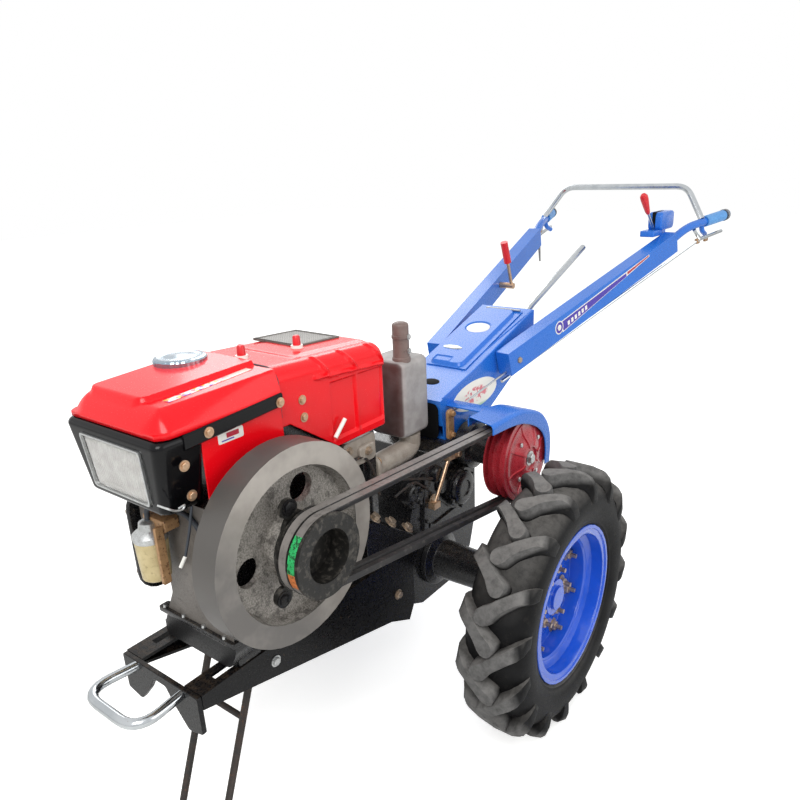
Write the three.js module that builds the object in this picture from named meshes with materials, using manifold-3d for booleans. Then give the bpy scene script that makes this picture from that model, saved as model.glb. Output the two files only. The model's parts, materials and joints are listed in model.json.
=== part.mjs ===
import * as THREE from 'three';
import { mergeVertices } from 'three/addons/utils/BufferGeometryUtils.js';
import Module from 'manifold-3d';

// Walking tractor, millimetres. +Z up, -Y is the way it drives, +X is its left side (belt side).
// Drawn with the axle above y = 0, the ground at z = 0 and the handle frame centred on x = 0.
const gap = 0.35;              // clearance between touching pieces

// wheels, 5.00-12 agricultural tyres
const tyreRadius = 294;
const tyreWidth = 146;
const beadRadius = 155;
const flangeRadius = 172;
const rimWidth = 104;
const wheelOffset = 393;       // centre plane of a wheel from the middle of the tractor
const axleHeight = tyreRadius;
const wheelSides = 36;
const axleRadius = 22;
const housingEnd = 288;        // end of the axle housing
const hubStart = 296;

// chassis
const railOuter = 106;
const railTop = 380;
const railFront = -682;
const railBack = -112;
const railSheet = 6;
const railFlange = 46;
const plateThick = 9;

// engine
const blockLeft = 126;
const blockRight = -84;
const blockFront = -620;
const blockBack = -318;
const headBack = -196;
const coverFront = -458;
const coverBack = -174;
const coverTop = 881;
const coverHalf = 114;
const hoodFront = -690;
const hoodHalf = 120;
const hoodLow = 828;
const skin = 3;

// belt drive
const flywheelY = -516;
const flywheelZ = 607;
const flywheelRadius = 172;
const flywheelBack = 143;
const flywheelFace = 195;
const pulleyStart = 211;
const beltPitch = 19;
const beltDepth = 10;
const beltCount = 2;
const enginePulleyRadius = 71;
const clutchY = 138;
const clutchZ = 537;
const clutchRadius = 103;
const grooveLip = 3;
const pulleyWidth = beltPitch * beltCount + 2 * grooveLip;
const clutchFace = pulleyStart + pulleyWidth;
const beltGap = 0.6;

// gearbox and handle frame
const gearboxHalf = 92;
const consoleHalf = 81;
const consoleSheet = 3;
const gripRadius = 16;
const tubeRadius = 13;
const beamDeep = 62;
const beamWide = 42;

// front stand
const standPivot = [-535, 347];
const standFoot = -665;
const standHalf = 60;
const standBar = 7;

const wasm = await Module();
wasm.setup();

const group = new THREE.Group();
group.name = 'walking_tractor';
const inner = new THREE.Group();
inner.name = 'tractor';
group.add(inner);

// ---- shape helpers ----
function solid(geometry) {
  geometry.deleteAttribute('normal');
  geometry.deleteAttribute('uv');
  const welded = mergeVertices(geometry, 1e-3);
  const at = welded.attributes.position.array;
  const corner = welded.index.array;
  const kept = [];
  let volume = 0;
  for (let i = 0; i < corner.length; i += 3) {
    const [a, b, c] = [corner[i], corner[i + 1], corner[i + 2]];
    if (a === b || b === c || a === c) continue;
    kept.push(a, b, c);
    const [p, q, r] = [a, b, c].map((k) => new THREE.Vector3(at[3 * k], at[3 * k + 1], at[3 * k + 2]));
    volume += p.dot(q.cross(r));
  }
  if (volume < 0) for (let i = 0; i < kept.length; i += 3) [kept[i], kept[i + 1]] = [kept[i + 1], kept[i]];
  return new wasm.Manifold(new wasm.Mesh({
    numProp: 3, vertProperties: new Float32Array(at), triVerts: new Uint32Array(kept) }));
}

const join = (...pieces) => pieces.reduce((a, b) => a.add(b));
const cut = (body, ...tools) => tools.reduce((a, b) => a.subtract(b), body);

function block(x0, x1, y0, y1, z0, z1) {
  const g = new THREE.BoxGeometry(x1 - x0, y1 - y0, z1 - z0);
  g.translate((x0 + x1) / 2, (y0 + y1) / 2, (z0 + z1) / 2);
  return solid(g);
}

function rounded(points, radius, steps = 3) {
  const out = [];
  const n = points.length;
  for (let i = 0; i < n; i += 1) {
    const p = new THREE.Vector2(...points[i]);
    const a = new THREE.Vector2(...points[(i + n - 1) % n]).sub(p);
    const b = new THREE.Vector2(...points[(i + 1) % n]).sub(p);
    const half = Math.acos(THREE.MathUtils.clamp(a.dot(b) / a.length() / b.length(), -1, 1)) / 2;
    const r = Array.isArray(radius) ? radius[i] : radius;
    const back = Math.min(r / Math.tan(half), a.length() * 0.45, b.length() * 0.45);
    if (r < 0.01 || half > 1.5) { out.push(points[i]); continue; }
    const s = p.clone().add(a.setLength(back));
    const e = p.clone().add(b.setLength(back));
    for (let k = 0; k <= steps; k += 1) {
      const t = k / steps;
      out.push([s.x * (1 - t) ** 2 + 2 * p.x * t * (1 - t) + e.x * t * t,
        s.y * (1 - t) ** 2 + 2 * p.y * t * (1 - t) + e.y * t * t]);
    }
  }
  return out;
}

function extruded(points, depth, basis, origin) {
  const shape = new THREE.Shape(points.map(([a, b]) => new THREE.Vector2(a, b)));
  const g = new THREE.ExtrudeGeometry(shape, { depth, bevelEnabled: false, steps: 1 });
  const m = new THREE.Matrix4().makeBasis(...basis.map((v) => new THREE.Vector3(...v)));
  m.setPosition(...origin);
  g.applyMatrix4(m);
  return solid(g);
}

// outline in (y, z), between two x planes
const sideShape = (points, x0, x1) => extruded(points, x1 - x0, [[0, 1, 0], [0, 0, 1], [1, 0, 0]], [x0, 0, 0]);
// outline in (x, z), between two y planes
const frontShape = (points, y0, y1) => extruded(points, y1 - y0, [[1, 0, 0], [0, 0, 1], [0, -1, 0]], [0, y1, 0]);

// closed outline in (x, radius) turned about a line along x
function turned(outline, y, z, segments = 48) {
  const points = outline.map(([x, r]) => new THREE.Vector2(r, x));
  const closed = outline[0][1] > 0.01 || outline[outline.length - 1][1] > 0.01;
  if (closed) points.push(points[0].clone());
  const g = new THREE.LatheGeometry(points, segments);
  g.rotateZ(-Math.PI / 2);
  g.translate(0, y, z);
  return solid(g);
}

function rod(from, to, radius, sides = 12, radiusEnd = radius) {
  const a = new THREE.Vector3(...from);
  const b = new THREE.Vector3(...to);
  const axis = b.clone().sub(a);
  const g = new THREE.CylinderGeometry(radiusEnd, radius, axis.length(), sides, 1);
  g.translate(0, axis.length() / 2, 0);
  g.applyQuaternion(new THREE.Quaternion().setFromUnitVectors(new THREE.Vector3(0, 1, 0), axis.normalize()));
  g.translate(a.x, a.y, a.z);
  return solid(g);
}

// round tube along straight runs with bent corners
function tube(points, radius, bend = 30, sides = 10, corner = 5) {
  const path = new THREE.CurvePath();
  const v = points.map((p) => new THREE.Vector3(...p));
  let from = v[0];
  const samples = [from.clone()];
  for (let i = 1; i < v.length - 1; i += 1) {
    const toPrev = v[i - 1].clone().sub(v[i]);
    const toNext = v[i + 1].clone().sub(v[i]);
    const s = v[i].clone().add(toPrev.setLength(Math.min(bend, toPrev.length() * 0.45)));
    const e = v[i].clone().add(toNext.setLength(Math.min(bend, toNext.length() * 0.45)));
    const c = new THREE.QuadraticBezierCurve3(s, v[i], e);
    path.add(new THREE.LineCurve3(from, s));
    path.add(c);
    from = e;
    samples.push(...c.getPoints(corner));
  }
  samples.push(v[v.length - 1].clone());
  path.add(new THREE.LineCurve3(from, v[v.length - 1]));
  // a curve object that steps through the samples, so straight runs stay straight
  class Route extends THREE.Curve {
    getPoint(t, target = new THREE.Vector3()) {
      const n = samples.length - 1;
      const k = Math.min(Math.floor(t * n), n - 1);
      return target.lerpVectors(samples[k], samples[k + 1], t * n - k);
    }

    getPointAt(t, target) { return this.getPoint(t, target); }

    getTangentAt(t, target) { return this.getTangent(t, target); }
  }
  const ring = new THREE.Shape();
  for (let k = 0; k < sides; k += 1) {
    const a = (2 * Math.PI * k) / sides;
    if (k === 0) ring.moveTo(radius, 0); else ring.lineTo(radius * Math.cos(a), radius * Math.sin(a));
  }
  const g = new THREE.ExtrudeGeometry(ring, { steps: samples.length - 1, extrudePath: new Route(), bevelEnabled: false });
  return solid(g);
}

const mirrorX = (body) => {
  const m = body.getMesh();
  const at = new Float32Array(m.vertProperties);
  for (let i = 0; i < at.length; i += m.numProp) at[i] = -at[i];
  const tri = new Uint32Array(m.triVerts);
  for (let i = 0; i < tri.length; i += 3) [tri[i], tri[i + 1]] = [tri[i + 1], tri[i]];
  return new wasm.Manifold(new wasm.Mesh({ numProp: m.numProp, vertProperties: at, triVerts: tri }));
};

function place(name, body, colour) {
  const m = body.getMesh();
  const g = new THREE.BufferGeometry();
  const at = new Float32Array((m.vertProperties.length / m.numProp) * 3);
  for (let i = 0, k = 0; i < m.vertProperties.length; i += m.numProp, k += 3) {
    at[k] = m.vertProperties[i];
    at[k + 1] = m.vertProperties[i + 1];
    at[k + 2] = m.vertProperties[i + 2];
  }
  g.setAttribute('position', new THREE.BufferAttribute(at, 3));
  g.setIndex(new THREE.BufferAttribute(new Uint32Array(m.triVerts), 1));
  g.computeVertexNormals();
  const mesh = new THREE.Mesh(g, new THREE.MeshStandardMaterial({ color: colour }));
  mesh.name = name;
  inner.add(mesh);
  return mesh;
}

const paint = { red: 0xc4151b, blue: 0x3f7fd8, rimBlue: 0x1f4fc8, black: 0x151517, iron: 0x8d8780,
  grey: 0x8f8a85, chrome: 0xc8ccd0, rubber: 0x26262a, darkRed: 0xa8323a, cream: 0xd8c89a };

// ---- wheels ----
function tyre() {
  const w = tyreWidth / 2;
  const half = rimWidth / 2 - 6;
  const outside = [[-half, beadRadius + gap], [-half - 4, flangeRadius + 12], [-w, 222], [-w + 2, 252],
    [-w + 9, tyreRadius - 22], [-w + 26, tyreRadius - 6], [-20, tyreRadius]];
  const inside = [[-16, tyreRadius - 34], [-w + 34, tyreRadius - 40], [-w + 17, 246], [-w + 14, 222],
    [-half + 2, flangeRadius + 16], [-half + 12, beadRadius + gap]];
  const other = (list) => list.slice().reverse().map(([x, r]) => [-x, r]);
  const outline = [...outside, ...other(outside), ...other(inside), ...inside];
  return turned(outline.map(([x, r]) => [x + wheelOffset, r]), 0, axleHeight, wheelSides);
}

function rim() {
  const h = rimWidth / 2;
  const b = beadRadius;
  const outline = [[-h - 6, flangeRadius], [-h, flangeRadius + 1], [-h, b], [-h + 22, b], [-h + 30, b - 20],
    [h - 30, b - 20], [h - 22, b], [h, b], [h, flangeRadius + 1], [h + 6, flangeRadius],
    [h + 6, flangeRadius - 8], [h + 3, flangeRadius - 8], [h + 3, b - 4], [h - 25, b - 4], [h - 33, b - 25],
    [-h + 33, b - 25], [-h + 25, b - 4], [-h - 3, b - 4], [-h - 3, flangeRadius - 8], [-h - 6, flangeRadius - 8]];
  const ring = turned(outline.map(([x, r]) => [x + wheelOffset, r]), 0, axleHeight, wheelSides);
  const disc = wheelOffset - 22;
  const plate = turned([[disc, 30], [disc, b - 25 + 1], [disc + 7, b - 25 + 1], [disc + 7, 100],
    [disc + 16, 84], [disc + 16, 30]], 0, axleHeight, wheelSides);
  const hub = turned([[hubStart, 0], [hubStart, 36], [disc - 12, 36], [disc - 12, 78], [disc + 1, 78],
    [disc + 1, 40], [disc + 34, 40], [disc + 34, 26], [disc + 42, 26], [disc + 42, 0]], 0, axleHeight, 32);
  const shaft = rod([housingEnd - 60, 0, axleHeight], [hubStart + 1, 0, axleHeight], axleRadius, 24);
  const windows = [];
  for (let k = 0; k < 4; k += 1) {
    const a = (Math.PI / 2) * k + Math.PI / 4;
    const [y, z] = [108 * Math.cos(a), axleHeight + 108 * Math.sin(a)];
    windows.push(rod([disc - 5, y, z], [disc + 25, y, z], 14, 16));
  }
  return cut(join(ring, plate, hub, shaft), ...windows);
}

const tyreLeft = tyre();
const rimLeft = rim();
place('tyre_left', tyreLeft, paint.rubber);
place('tyre_right', mirrorX(tyreLeft), paint.rubber);
place('rim_left', rimLeft, paint.rimBlue);
place('rim_right', mirrorX(rimLeft), paint.rimBlue);

const housing = cut(turned([[gearboxHalf + gap, 0], [gearboxHalf + gap, 66], [gearboxHalf + 14, 66],
  [gearboxHalf + 22, 46], [housingEnd - 40, 42], [housingEnd - 30, 54], [housingEnd, 54], [housingEnd, 0]],
0, axleHeight, 32), rod([housingEnd - 62, 0, axleHeight], [housingEnd + 5, 0, axleHeight], axleRadius + 0.4, 24));
place('axle_housing_left', housing, paint.black);
place('axle_housing_right', mirrorX(housing), paint.black);

// ---- chassis ----
const railLine = [[railFront, railTop], [railBack, railTop], [railBack + 4, 236], [railBack - 18, 196],
  [railBack - 83, 228], [railFront, 352]];
function rail() {
  const web = sideShape(railLine, railOuter - railSheet, railOuter);
  const flangeTop = block(railOuter - railFlange, railOuter, railFront, railBack, railTop - railSheet, railTop);
  const lip = sideShape([[railFront, 352], [railBack - 83, 228], [railBack - 83, 234], [railFront, 358]],
    railOuter - 24, railOuter - 1);
  const slots = [];
  for (const y of [railFront + 64, railFront + 140]) {
    slots.push(block(railOuter - 30, railOuter - 16, y - 24, y + 24, railTop - 12, railTop + 5));
  }
  return cut(join(web, flangeTop, lip), ...slots);
}
const railLeft = rail();
place('rail_left', railLeft, paint.black);
place('rail_right', mirrorX(railLeft), paint.black);

const cheek = [[railOuter, railTop], [railOuter, railTop - 74], [railOuter - 39, railTop - 83], [34, railTop - 45],
  [16, railTop - 17]];
const plateLine = [...cheek, ...cheek.slice().reverse().map(([x, z]) => [-x, z])];
place('front_plate', frontShape(rounded(plateLine, [6, 6, 10, 14, 8, 8, 14, 10, 6, 6]),
  railFront - plateThick - gap, railFront - gap), paint.black);

const bumperY = railFront - plateThick - 2 * gap;
const bumperOut = 92;          // how far the bow stands out from the plate
place('bumper', cut(tube([[61, bumperY + 20, 370], [77, bumperY - bumperOut, 372], [-77, bumperY - bumperOut, 372],
  [-61, bumperY + 20, 370]], 9, 48, 12, 7), block(-100, 100, bumperY, bumperY + 60, 300, 420)), paint.chrome);

// ---- front stand: two legs on a pivot tube between the rails ----
const [pivotY, pivotZ] = standPivot;
const legs = [1, -1].map((s) => rod([s * standHalf, pivotY, pivotZ], [s * standHalf, standFoot, standBar], standBar, 10));
const foot = rod([-standHalf - 16, standFoot, standBar], [standHalf + 16, standFoot, standBar], standBar, 10);
const stay = rod([-standHalf, (pivotY * 2 + standFoot) / 3, (pivotZ * 2 + standBar) / 3],
  [standHalf, (pivotY * 2 + standFoot) / 3, (pivotZ * 2 + standBar) / 3], 6, 10);
const pivotTube = rod([-railOuter + railSheet + 3, pivotY, pivotZ], [railOuter - railSheet - 3, pivotY, pivotZ], 12, 16);
const pivotHole = rod([-railOuter, pivotY, pivotZ], [railOuter, pivotY, pivotZ], 7.4, 16);
place('stand', cut(join(...legs, foot, stay, pivotTube), pivotHole), paint.black);
const pinEnd = railOuter - railSheet - gap;
place('stand_pin', rod([-pinEnd, pivotY, pivotZ], [pinEnd, pivotY, pivotZ], 7, 16), paint.iron);

// ---- engine ----
const noseDeep = 36;           // the front casting is narrower low down than the gear case behind it
const nose = frontShape(rounded([[-66, 392], [blockLeft - 20, 392], [blockLeft, 430], [blockLeft, 690], [blockRight, 690],
  [blockRight - 4, 622], [-32, 562], [-30, 494], [-66, 424]], [4, 20, 20, 14, 10, 14, 16, 16, 10]),
blockFront, blockFront + noseDeep + 2);
const gearCase = frontShape(rounded([[blockRight, 392], [blockLeft - 20, 392], [blockLeft, 430], [blockLeft, 690],
  [blockRight, 690]], [20, 20, 20, 14, 14]), blockFront + noseDeep, blockBack);
const crankcase = join(nose, gearCase);
const base = block(-railOuter + 8, railOuter - 8, blockFront + 16, blockBack + 60, railTop + gap, 400);
const head = frontShape(rounded([[-92, 424], [88, 424], [88, 688], [-92, 688]], 16), blockBack - 5, headBack);
const rocker = sideShape(rounded([[headBack - 2, 470], [headBack + 34, 480], [headBack + 34, 600],
  [headBack - 2, 612]], 10), -80, 28);
const hopper = join(block(-96, 96, blockFront + 30, coverFront - 10, 688, 770),
  block(-96, 96, coverFront + 10, blockBack, 688, 770));
const crankHole = rod([70, flywheelY, flywheelZ], [200, flywheelY, flywheelZ], 26.4, 24);
place('engine_block', cut(join(crankcase, base, head, rocker, hopper), crankHole), paint.black);

// red tank top over the front half, a shell open underneath
const hoodLine = [[hoodFront, hoodLow], [hoodFront, hoodLow + 10], [hoodFront + 28, 864], [coverFront - 1, 877],
  [coverFront - 1, hoodLow + 12], [hoodFront + 50, hoodLow]];
const hoodShell = sideShape(rounded(hoodLine, [0, 6, 24, 4, 0, 0]), -hoodHalf, hoodHalf);
const hoodHollow = sideShape([[hoodFront + skin, 800], [hoodFront + skin, hoodLow + 8], [hoodFront + 31, 860],
  [coverFront - 1 - skin, 873], [coverFront - 1 - skin, 800]], -hoodHalf + skin, hoodHalf - skin);
const capY = -514;
const capX = -60;
const neckTop = 877;
const neck = rod([capX, capY, 862], [capX, capY, neckTop], 43, 24);
place('hood', join(cut(hoodShell, hoodHollow), neck), paint.red);

// black front panel with side cheeks and the thin side bands
const bandTop = hoodLow - gap;
const lean = sideShape([[hoodFront + 3, 702], [hoodFront - 9, bandTop], [hoodFront + 66, bandTop], [hoodFront + 70, 702]],
  -140, 140);
const face = frontShape([[-100, 702], [100, 702], [124, bandTop], [-124, bandTop]], hoodFront - 30, hoodFront + 90).intersect(lean);
const faceHollow = frontShape([[-94, 690], [94, 690], [118, 840], [-118, 840]], hoodFront + 12, hoodFront + 90);
const lampOutline = (grow) => rounded([[-74 - grow, 716 - grow], [74 + grow, 716 - grow], [80 + grow, 810 + grow],
  [-80 - grow, 810 + grow]], 8);
const lampHole = frontShape(lampOutline(gap), hoodFront - 40, hoodFront + 40);
const band = (s) => sideShape([[hoodFront + 50, bandTop - 24], [coverFront - 1, bandTop - 12], [coverFront - 1, bandTop + 11],
  [hoodFront + 50, bandTop]],
  Math.min(s * 117, s * 123), Math.max(s * 117, s * 123));
place('front_panel', join(cut(face, faceHollow, lampHole), band(1), band(-1)), paint.black);
const lampLean = sideShape([[hoodFront - 1, 700], [hoodFront - 11, 830], [hoodFront + 30, 830], [hoodFront + 30, 700]], -90, 90);
place('headlamp', frontShape(lampOutline(0), hoodFront - 30, hoodFront + 30).intersect(lampLean), paint.cream);

// red side panels under the bands
const sidePanel = sideShape(rounded([[hoodFront + 70 + gap, 700], [coverFront - gap, 692], [coverFront - gap, 824],
  [hoodFront + 70 + gap, 812]], 4), 113.5, 113.5 + skin);
place('side_panel_left', sidePanel, paint.red);
place('side_panel_right', mirrorX(sidePanel), paint.red);

// red rear cover, a shell open underneath
const coverLine = [[coverFront, 690], [coverFront, coverTop], [coverBack, coverTop - 18], [coverBack, 702]];
const coverOuter = sideShape(rounded(coverLine, [4, 12, 22, 14]), -coverHalf, coverHalf);
const coverInner = sideShape([[coverFront + skin, 640], [coverFront + skin, coverTop - skin - 2],
  [coverBack - skin, coverTop - 24], [coverBack - skin, 640]], -coverHalf + skin, coverHalf - skin);
const coverPeg = join(...[coverFront + 22, -306].map((y) => join(rod([-8, y, 866], [-8, y, 884], 12, 16),
  rod([-8, y, 883], [-8, y, 906], 7, 12))));
place('rear_cover', join(cut(coverOuter, coverInner), coverPeg), paint.red);

place('tank_cap', turned([[0, 0], [0, 44], [3, 46], [11, 46], [15, 41], [15, 0]], 0, 0, 32)
  .rotate([0, -90, 0]).translate([capX, capY, neckTop + gap]), paint.chrome);

// muffler box with a short stack, and the elbow from the cylinder head
const mufflerBox = sideShape(rounded([[-92, 620], [6, 620], [6, 792], [-92, 792]], 16), -18, 84);
const stack = join(rod([62, -64, 786], [62, -64, 868], 18, 20), rod([62, -64, 858], [62, -64, 874], 20, 20));
place('muffler', join(mufflerBox, stack), paint.grey);
const elbow = tube([[60, headBack + gap, 584], [60, -44, 584], [60, -44, 620 - gap]], 24, 34, 16, 6);
place('exhaust_elbow', elbow, paint.grey);

// fuel filter on the front face of the engine
const bowl = turned([[0, 0], [0, 18], [6, 23], [60, 25], [64, 30], [88, 30], [92, 26], [104, 20], [104, 0]], 0, 0, 20)
  .rotate([0, -90, 0]).translate([-8, blockFront - 31, 528]);
const carrier = block(-28, 14, blockFront - 30, blockFront - gap, 600, 646);
place('fuel_filter', join(bowl, carrier), paint.cream);

// ---- belt drive ----
const flywheelOutline = [[flywheelBack, 0], [flywheelBack, 48], [flywheelBack + 14, 52], [flywheelBack + 14, 128],
  [flywheelBack, 134], [flywheelBack, flywheelRadius], [flywheelFace, flywheelRadius], [flywheelFace, 134],
  [flywheelFace - 24, 128], [flywheelFace - 24, 58], [flywheelFace + 2, 54], [flywheelFace + 2, 0]];
const windowCircle = 91;
const windowTurn = 1.2;
const lightening = [0, 1, 2].map((k) => {
  const a = (2 * Math.PI * k) / 3 + windowTurn;
  const [y, z] = [flywheelY + windowCircle * Math.cos(a), flywheelZ + windowCircle * Math.sin(a)];
  return rod([flywheelBack, y, z], [flywheelFace, y, z], 25, 20);
});
const crank = rod([80, flywheelY, flywheelZ], [flywheelBack + 1, flywheelY, flywheelZ], 26, 24);
place('flywheel', cut(join(turned(flywheelOutline, flywheelY, flywheelZ, 48), crank), ...lightening), paint.iron);

function grooved(radius, start, hubRadius, faceX) {
  const outline = [[start, hubRadius], [start, radius]];
  for (let k = 0; k < beltCount; k += 1) {
    const x = start + grooveLip + beltPitch * k;
    outline.push([x, radius], [x + 3, radius - beltDepth - 2], [x + beltPitch - 3, radius - beltDepth - 2],
      [x + beltPitch, radius]);
  }
  outline.push([faceX, radius], [faceX, hubRadius]);
  return outline.filter(([x, r], i, all) => i === 0 || Math.hypot(x - all[i - 1][0], r - all[i - 1][1]) > 0.01);
}
const engineGrooves = turned(grooved(enginePulleyRadius, pulleyStart, 45, pulleyStart + pulleyWidth + 3), flywheelY, flywheelZ, 32);
const spider = flywheelFace + 2 + gap;
const engineWeb = turned([[spider, 0], [spider, 62], [pulleyStart + 6, 62], [pulleyStart + 6, 0]], flywheelY, flywheelZ, 32);
const arms = [0, 1, 2].map((k) => {
  const a = (2 * Math.PI * k) / 3 + windowTurn + 0.7;
  const [y, z] = [flywheelY + 84 * Math.cos(a), flywheelZ + 84 * Math.sin(a)];
  return join(rod([spider, y, z], [spider + 9, y, z], 17, 16), rod([spider, (y + flywheelY) / 2, (z + flywheelZ) / 2],
    [spider + 9, (y + flywheelY) / 2, (z + flywheelZ) / 2], 30, 16));
});
place('engine_pulley', join(engineGrooves, engineWeb, ...arms), paint.black);

const clutchGrooves = turned(grooved(clutchRadius, pulleyStart, 60, clutchFace), clutchY, clutchZ, 40);
const clutchWeb = turned([[pulleyStart, 0], [pulleyStart, 61], [pulleyStart + 16, 61], [pulleyStart + 16, 0]], clutchY, clutchZ, 32);
const clutchShaft = rod([gearboxHalf - 4, clutchY, clutchZ], [pulleyStart + 1, clutchY, clutchZ], 20, 24);
place('clutch_pulley', join(clutchGrooves, clutchWeb, clutchShaft), paint.darkRed);
const coverStart = clutchFace + gap;
const coverRadius = clutchRadius - 13;
place('clutch_cover', turned([[coverStart, 0], [coverStart, coverRadius], [coverStart + 2, coverRadius],
  [coverStart + 2.5, coverRadius - 20], [coverStart + 12, 44], [coverStart + 26, 38], [coverStart + 30, 30],
  [coverStart + 30, 0]], clutchY, clutchZ, 32), paint.darkRed);

// two V belts, each a closed loop round both pulleys
function belt(k) {
  const middle = pulleyStart + grooveLip + beltPitch * (k + 0.5);
  const inside = [enginePulleyRadius - beltDepth - 2 + beltGap, clutchRadius - beltDepth - 2 + beltGap];
  const loop = (grow) => {
    const r1 = inside[0] + grow;
    const r2 = inside[1] + grow;
    const along = new THREE.Vector2(clutchY - flywheelY, clutchZ - flywheelZ);
    const d = along.length();
    const tilt = Math.atan2(along.y, along.x);
    const spread = Math.acos((r1 - r2) / d);
    const points = [];
    for (let i = 0; i <= 16; i += 1) {
      const a = tilt + spread + ((2 * Math.PI - 2 * spread) * i) / 16;
      points.push([flywheelY + r1 * Math.cos(a), flywheelZ + r1 * Math.sin(a)]);
    }
    for (let i = 0; i <= 20; i += 1) {
      const a = tilt - spread + (2 * spread * i) / 20;
      points.push([clutchY + r2 * Math.cos(a), clutchZ + r2 * Math.sin(a)]);
    }
    return points;
  };
  const narrow = beltPitch - 6 - 2 * beltGap;
  const ring = (from, to, wide) => cut(sideShape(loop(to), middle - wide / 2, middle + wide / 2),
    sideShape(loop(from), middle - wide, middle + wide));
  return join(ring(0, beltDepth * 0.55, narrow), ring(beltDepth * 0.5, beltDepth, narrow + 1.6));
}
['belt_inner', 'belt_outer'].forEach((name, k) => place(name, belt(k), paint.rubber));

// blue guard over the clutch: a bent sheet with a side wall towards the gearbox and a lip outside
const guardRise = clutchRadius + 7;
const guardReach = clutchRadius + 15;
const guardSheet = 2.5;
const guardFront = -24;
const guardSlope = 10;         // the sheet rises towards the engine with the upper belt run
const guardStart = 186;
const guardEnd = clutchFace + 10.5;
function guard() {
  const arc = (inward, low) => {
    const points = [[guardFront, clutchZ + guardRise - low + guardSlope]];
    for (let i = 0; i <= 12; i += 1) {
      const a = Math.PI / 2 - (i / 12) * 1.95;
      points.push([clutchY + (guardReach - inward) * Math.cos(a), clutchZ + (guardRise - low) * Math.sin(a)]);
    }
    return points;
  };
  const outer = arc(-guardSheet, -guardSheet);
  const sheet = sideShape([...outer, ...arc(0, 0).reverse()], guardStart, guardEnd);
  const lip = sideShape([...outer, ...arc(12, 34).reverse()], guardEnd - 2, guardEnd);
  const side = cut(sideShape([...outer, [clutchY, clutchZ - 20], [guardFront, clutchZ + 40]], guardStart, guardStart + 3),
    rod([guardStart - 9, clutchY, clutchZ], [guardStart + 9, clutchY, clutchZ], 39 + gap, 32));
  return join(sheet, lip, side);
}
place('belt_guard', guard(), paint.blue);

// ---- gearbox ----
const boxLower = sideShape(rounded([[-180, 252], [-60, 196], [70, 196], [150, 250], [176, 330], [176, 470], [230, 560],
  [230, 568], [-20, 568], [-60, 520], [-104, 380 + 30], [-106, 300]], 12), -gearboxHalf, gearboxHalf);
const clutchHousing = turned([[gearboxHalf - 1, 0], [gearboxHalf - 1, 58], [gearboxHalf + 30, 55], [gearboxHalf + 36, 39],
  [pulleyStart - 12, 39], [pulleyStart - 12, 0]], clutchY, clutchZ, 32);
const clutchBore = rod([gearboxHalf - 8, clutchY, clutchZ], [pulleyStart, clutchY, clutchZ], 20.4, 24);
const railSeat = block(-railOuter + railSheet + gap, railOuter - railSheet - gap, -176, -100, 246, 372);
place('gearbox', cut(join(boxLower, clutchHousing, railSeat), clutchBore), paint.black);

// ---- handle frame ----
const consoleTop = (y) => (y < 180 ? 668 + (y - 47) * 0.24 : 700 + (y - 180) * 0.31);
const sideLine = [[47, consoleTop(47)], [180, consoleTop(180)], [500, consoleTop(500)], [500, 740], [425, 664],
  [299, 602], [230, 568 + gap], [64, 568 + gap]];
const consoleBox = sideShape(sideLine, -consoleHalf, consoleHalf);
const consoleVoid = sideShape([[58, 560], [58, consoleTop(58) - 4], [180, consoleTop(180) - 4], [497, consoleTop(497) - 4],
  [497, 741], [420, 668], [296, 608], [228, 574 + gap], [64, 574 + gap]], -consoleHalf + consoleSheet, consoleHalf - consoleSheet);
const lidHalf = 58;
const lidY = [190, 478];
const lidHole = sideShape([[lidY[0] + 10, 640], [lidY[0] + 10, 900], [lidY[1] - 10, 900], [lidY[1] - 10, 700]],
  -lidHalf + 10, lidHalf - 10);
place('console', cut(consoleBox, consoleVoid, lidHole), paint.blue);

const lift = gap;
const lidPlate = sideShape([[lidY[0], consoleTop(lidY[0]) + lift], [lidY[1], consoleTop(lidY[1]) + lift],
  [lidY[1], consoleTop(lidY[1]) + lift + 4], [lidY[0], consoleTop(lidY[0]) + lift + 4]], -lidHalf, lidHalf);
place('console_lid', lidPlate, paint.blue);

// beams: from the console sides out to the grips
const beamFront = [consoleHalf + gap + beamWide / 2 + 2, 296, 700];
const beamBack = [240, 1120, 920];
const gripStart = [262, 1200, 958];
const gripEnd = [322, 1415, 982];
const beamAxis = new THREE.Vector3(...beamBack).sub(new THREE.Vector3(...beamFront)).normalize();
function beamBar(grow) {
  const a = new THREE.Vector3(...beamFront);
  const b = new THREE.Vector3(...beamBack);
  const axis = beamAxis;
  const across = new THREE.Vector3().crossVectors(axis, new THREE.Vector3(0, 0, 1)).normalize();
  const up = new THREE.Vector3().crossVectors(across, axis);
  const w = beamWide / 2 + grow;
  const d = beamDeep / 2 + grow;
  const shape = new THREE.Shape([[-w, -d], [w, -d], [w, d], [-w, d]].map((p) => new THREE.Vector2(...p)));
  const g = new THREE.ExtrudeGeometry(shape, { depth: a.distanceTo(b), bevelEnabled: false });
  g.applyMatrix4(new THREE.Matrix4().makeBasis(across, up, axis).setPosition(a));
  return solid(g);
}
function beam() {
  const body = cut(beamBar(0), block(-consoleHalf - gap, consoleHalf + gap, 0, 700, 500, 1100));
  const handle = tube([beamBack.map((c, i) => c - 40 * beamAxis.getComponent(i)), gripStart, gripEnd], tubeRadius, 50, 12, 5);
  const bracket = rod([consoleHalf + gap, 362, 708], [consoleHalf + gap + 24, 362, 708], 24, 16);
  return join(body, handle, bracket);
}
const beamLeft = beam();
place('handle_left', beamLeft, paint.blue);
place('handle_right', mirrorX(beamLeft), paint.blue);

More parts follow.
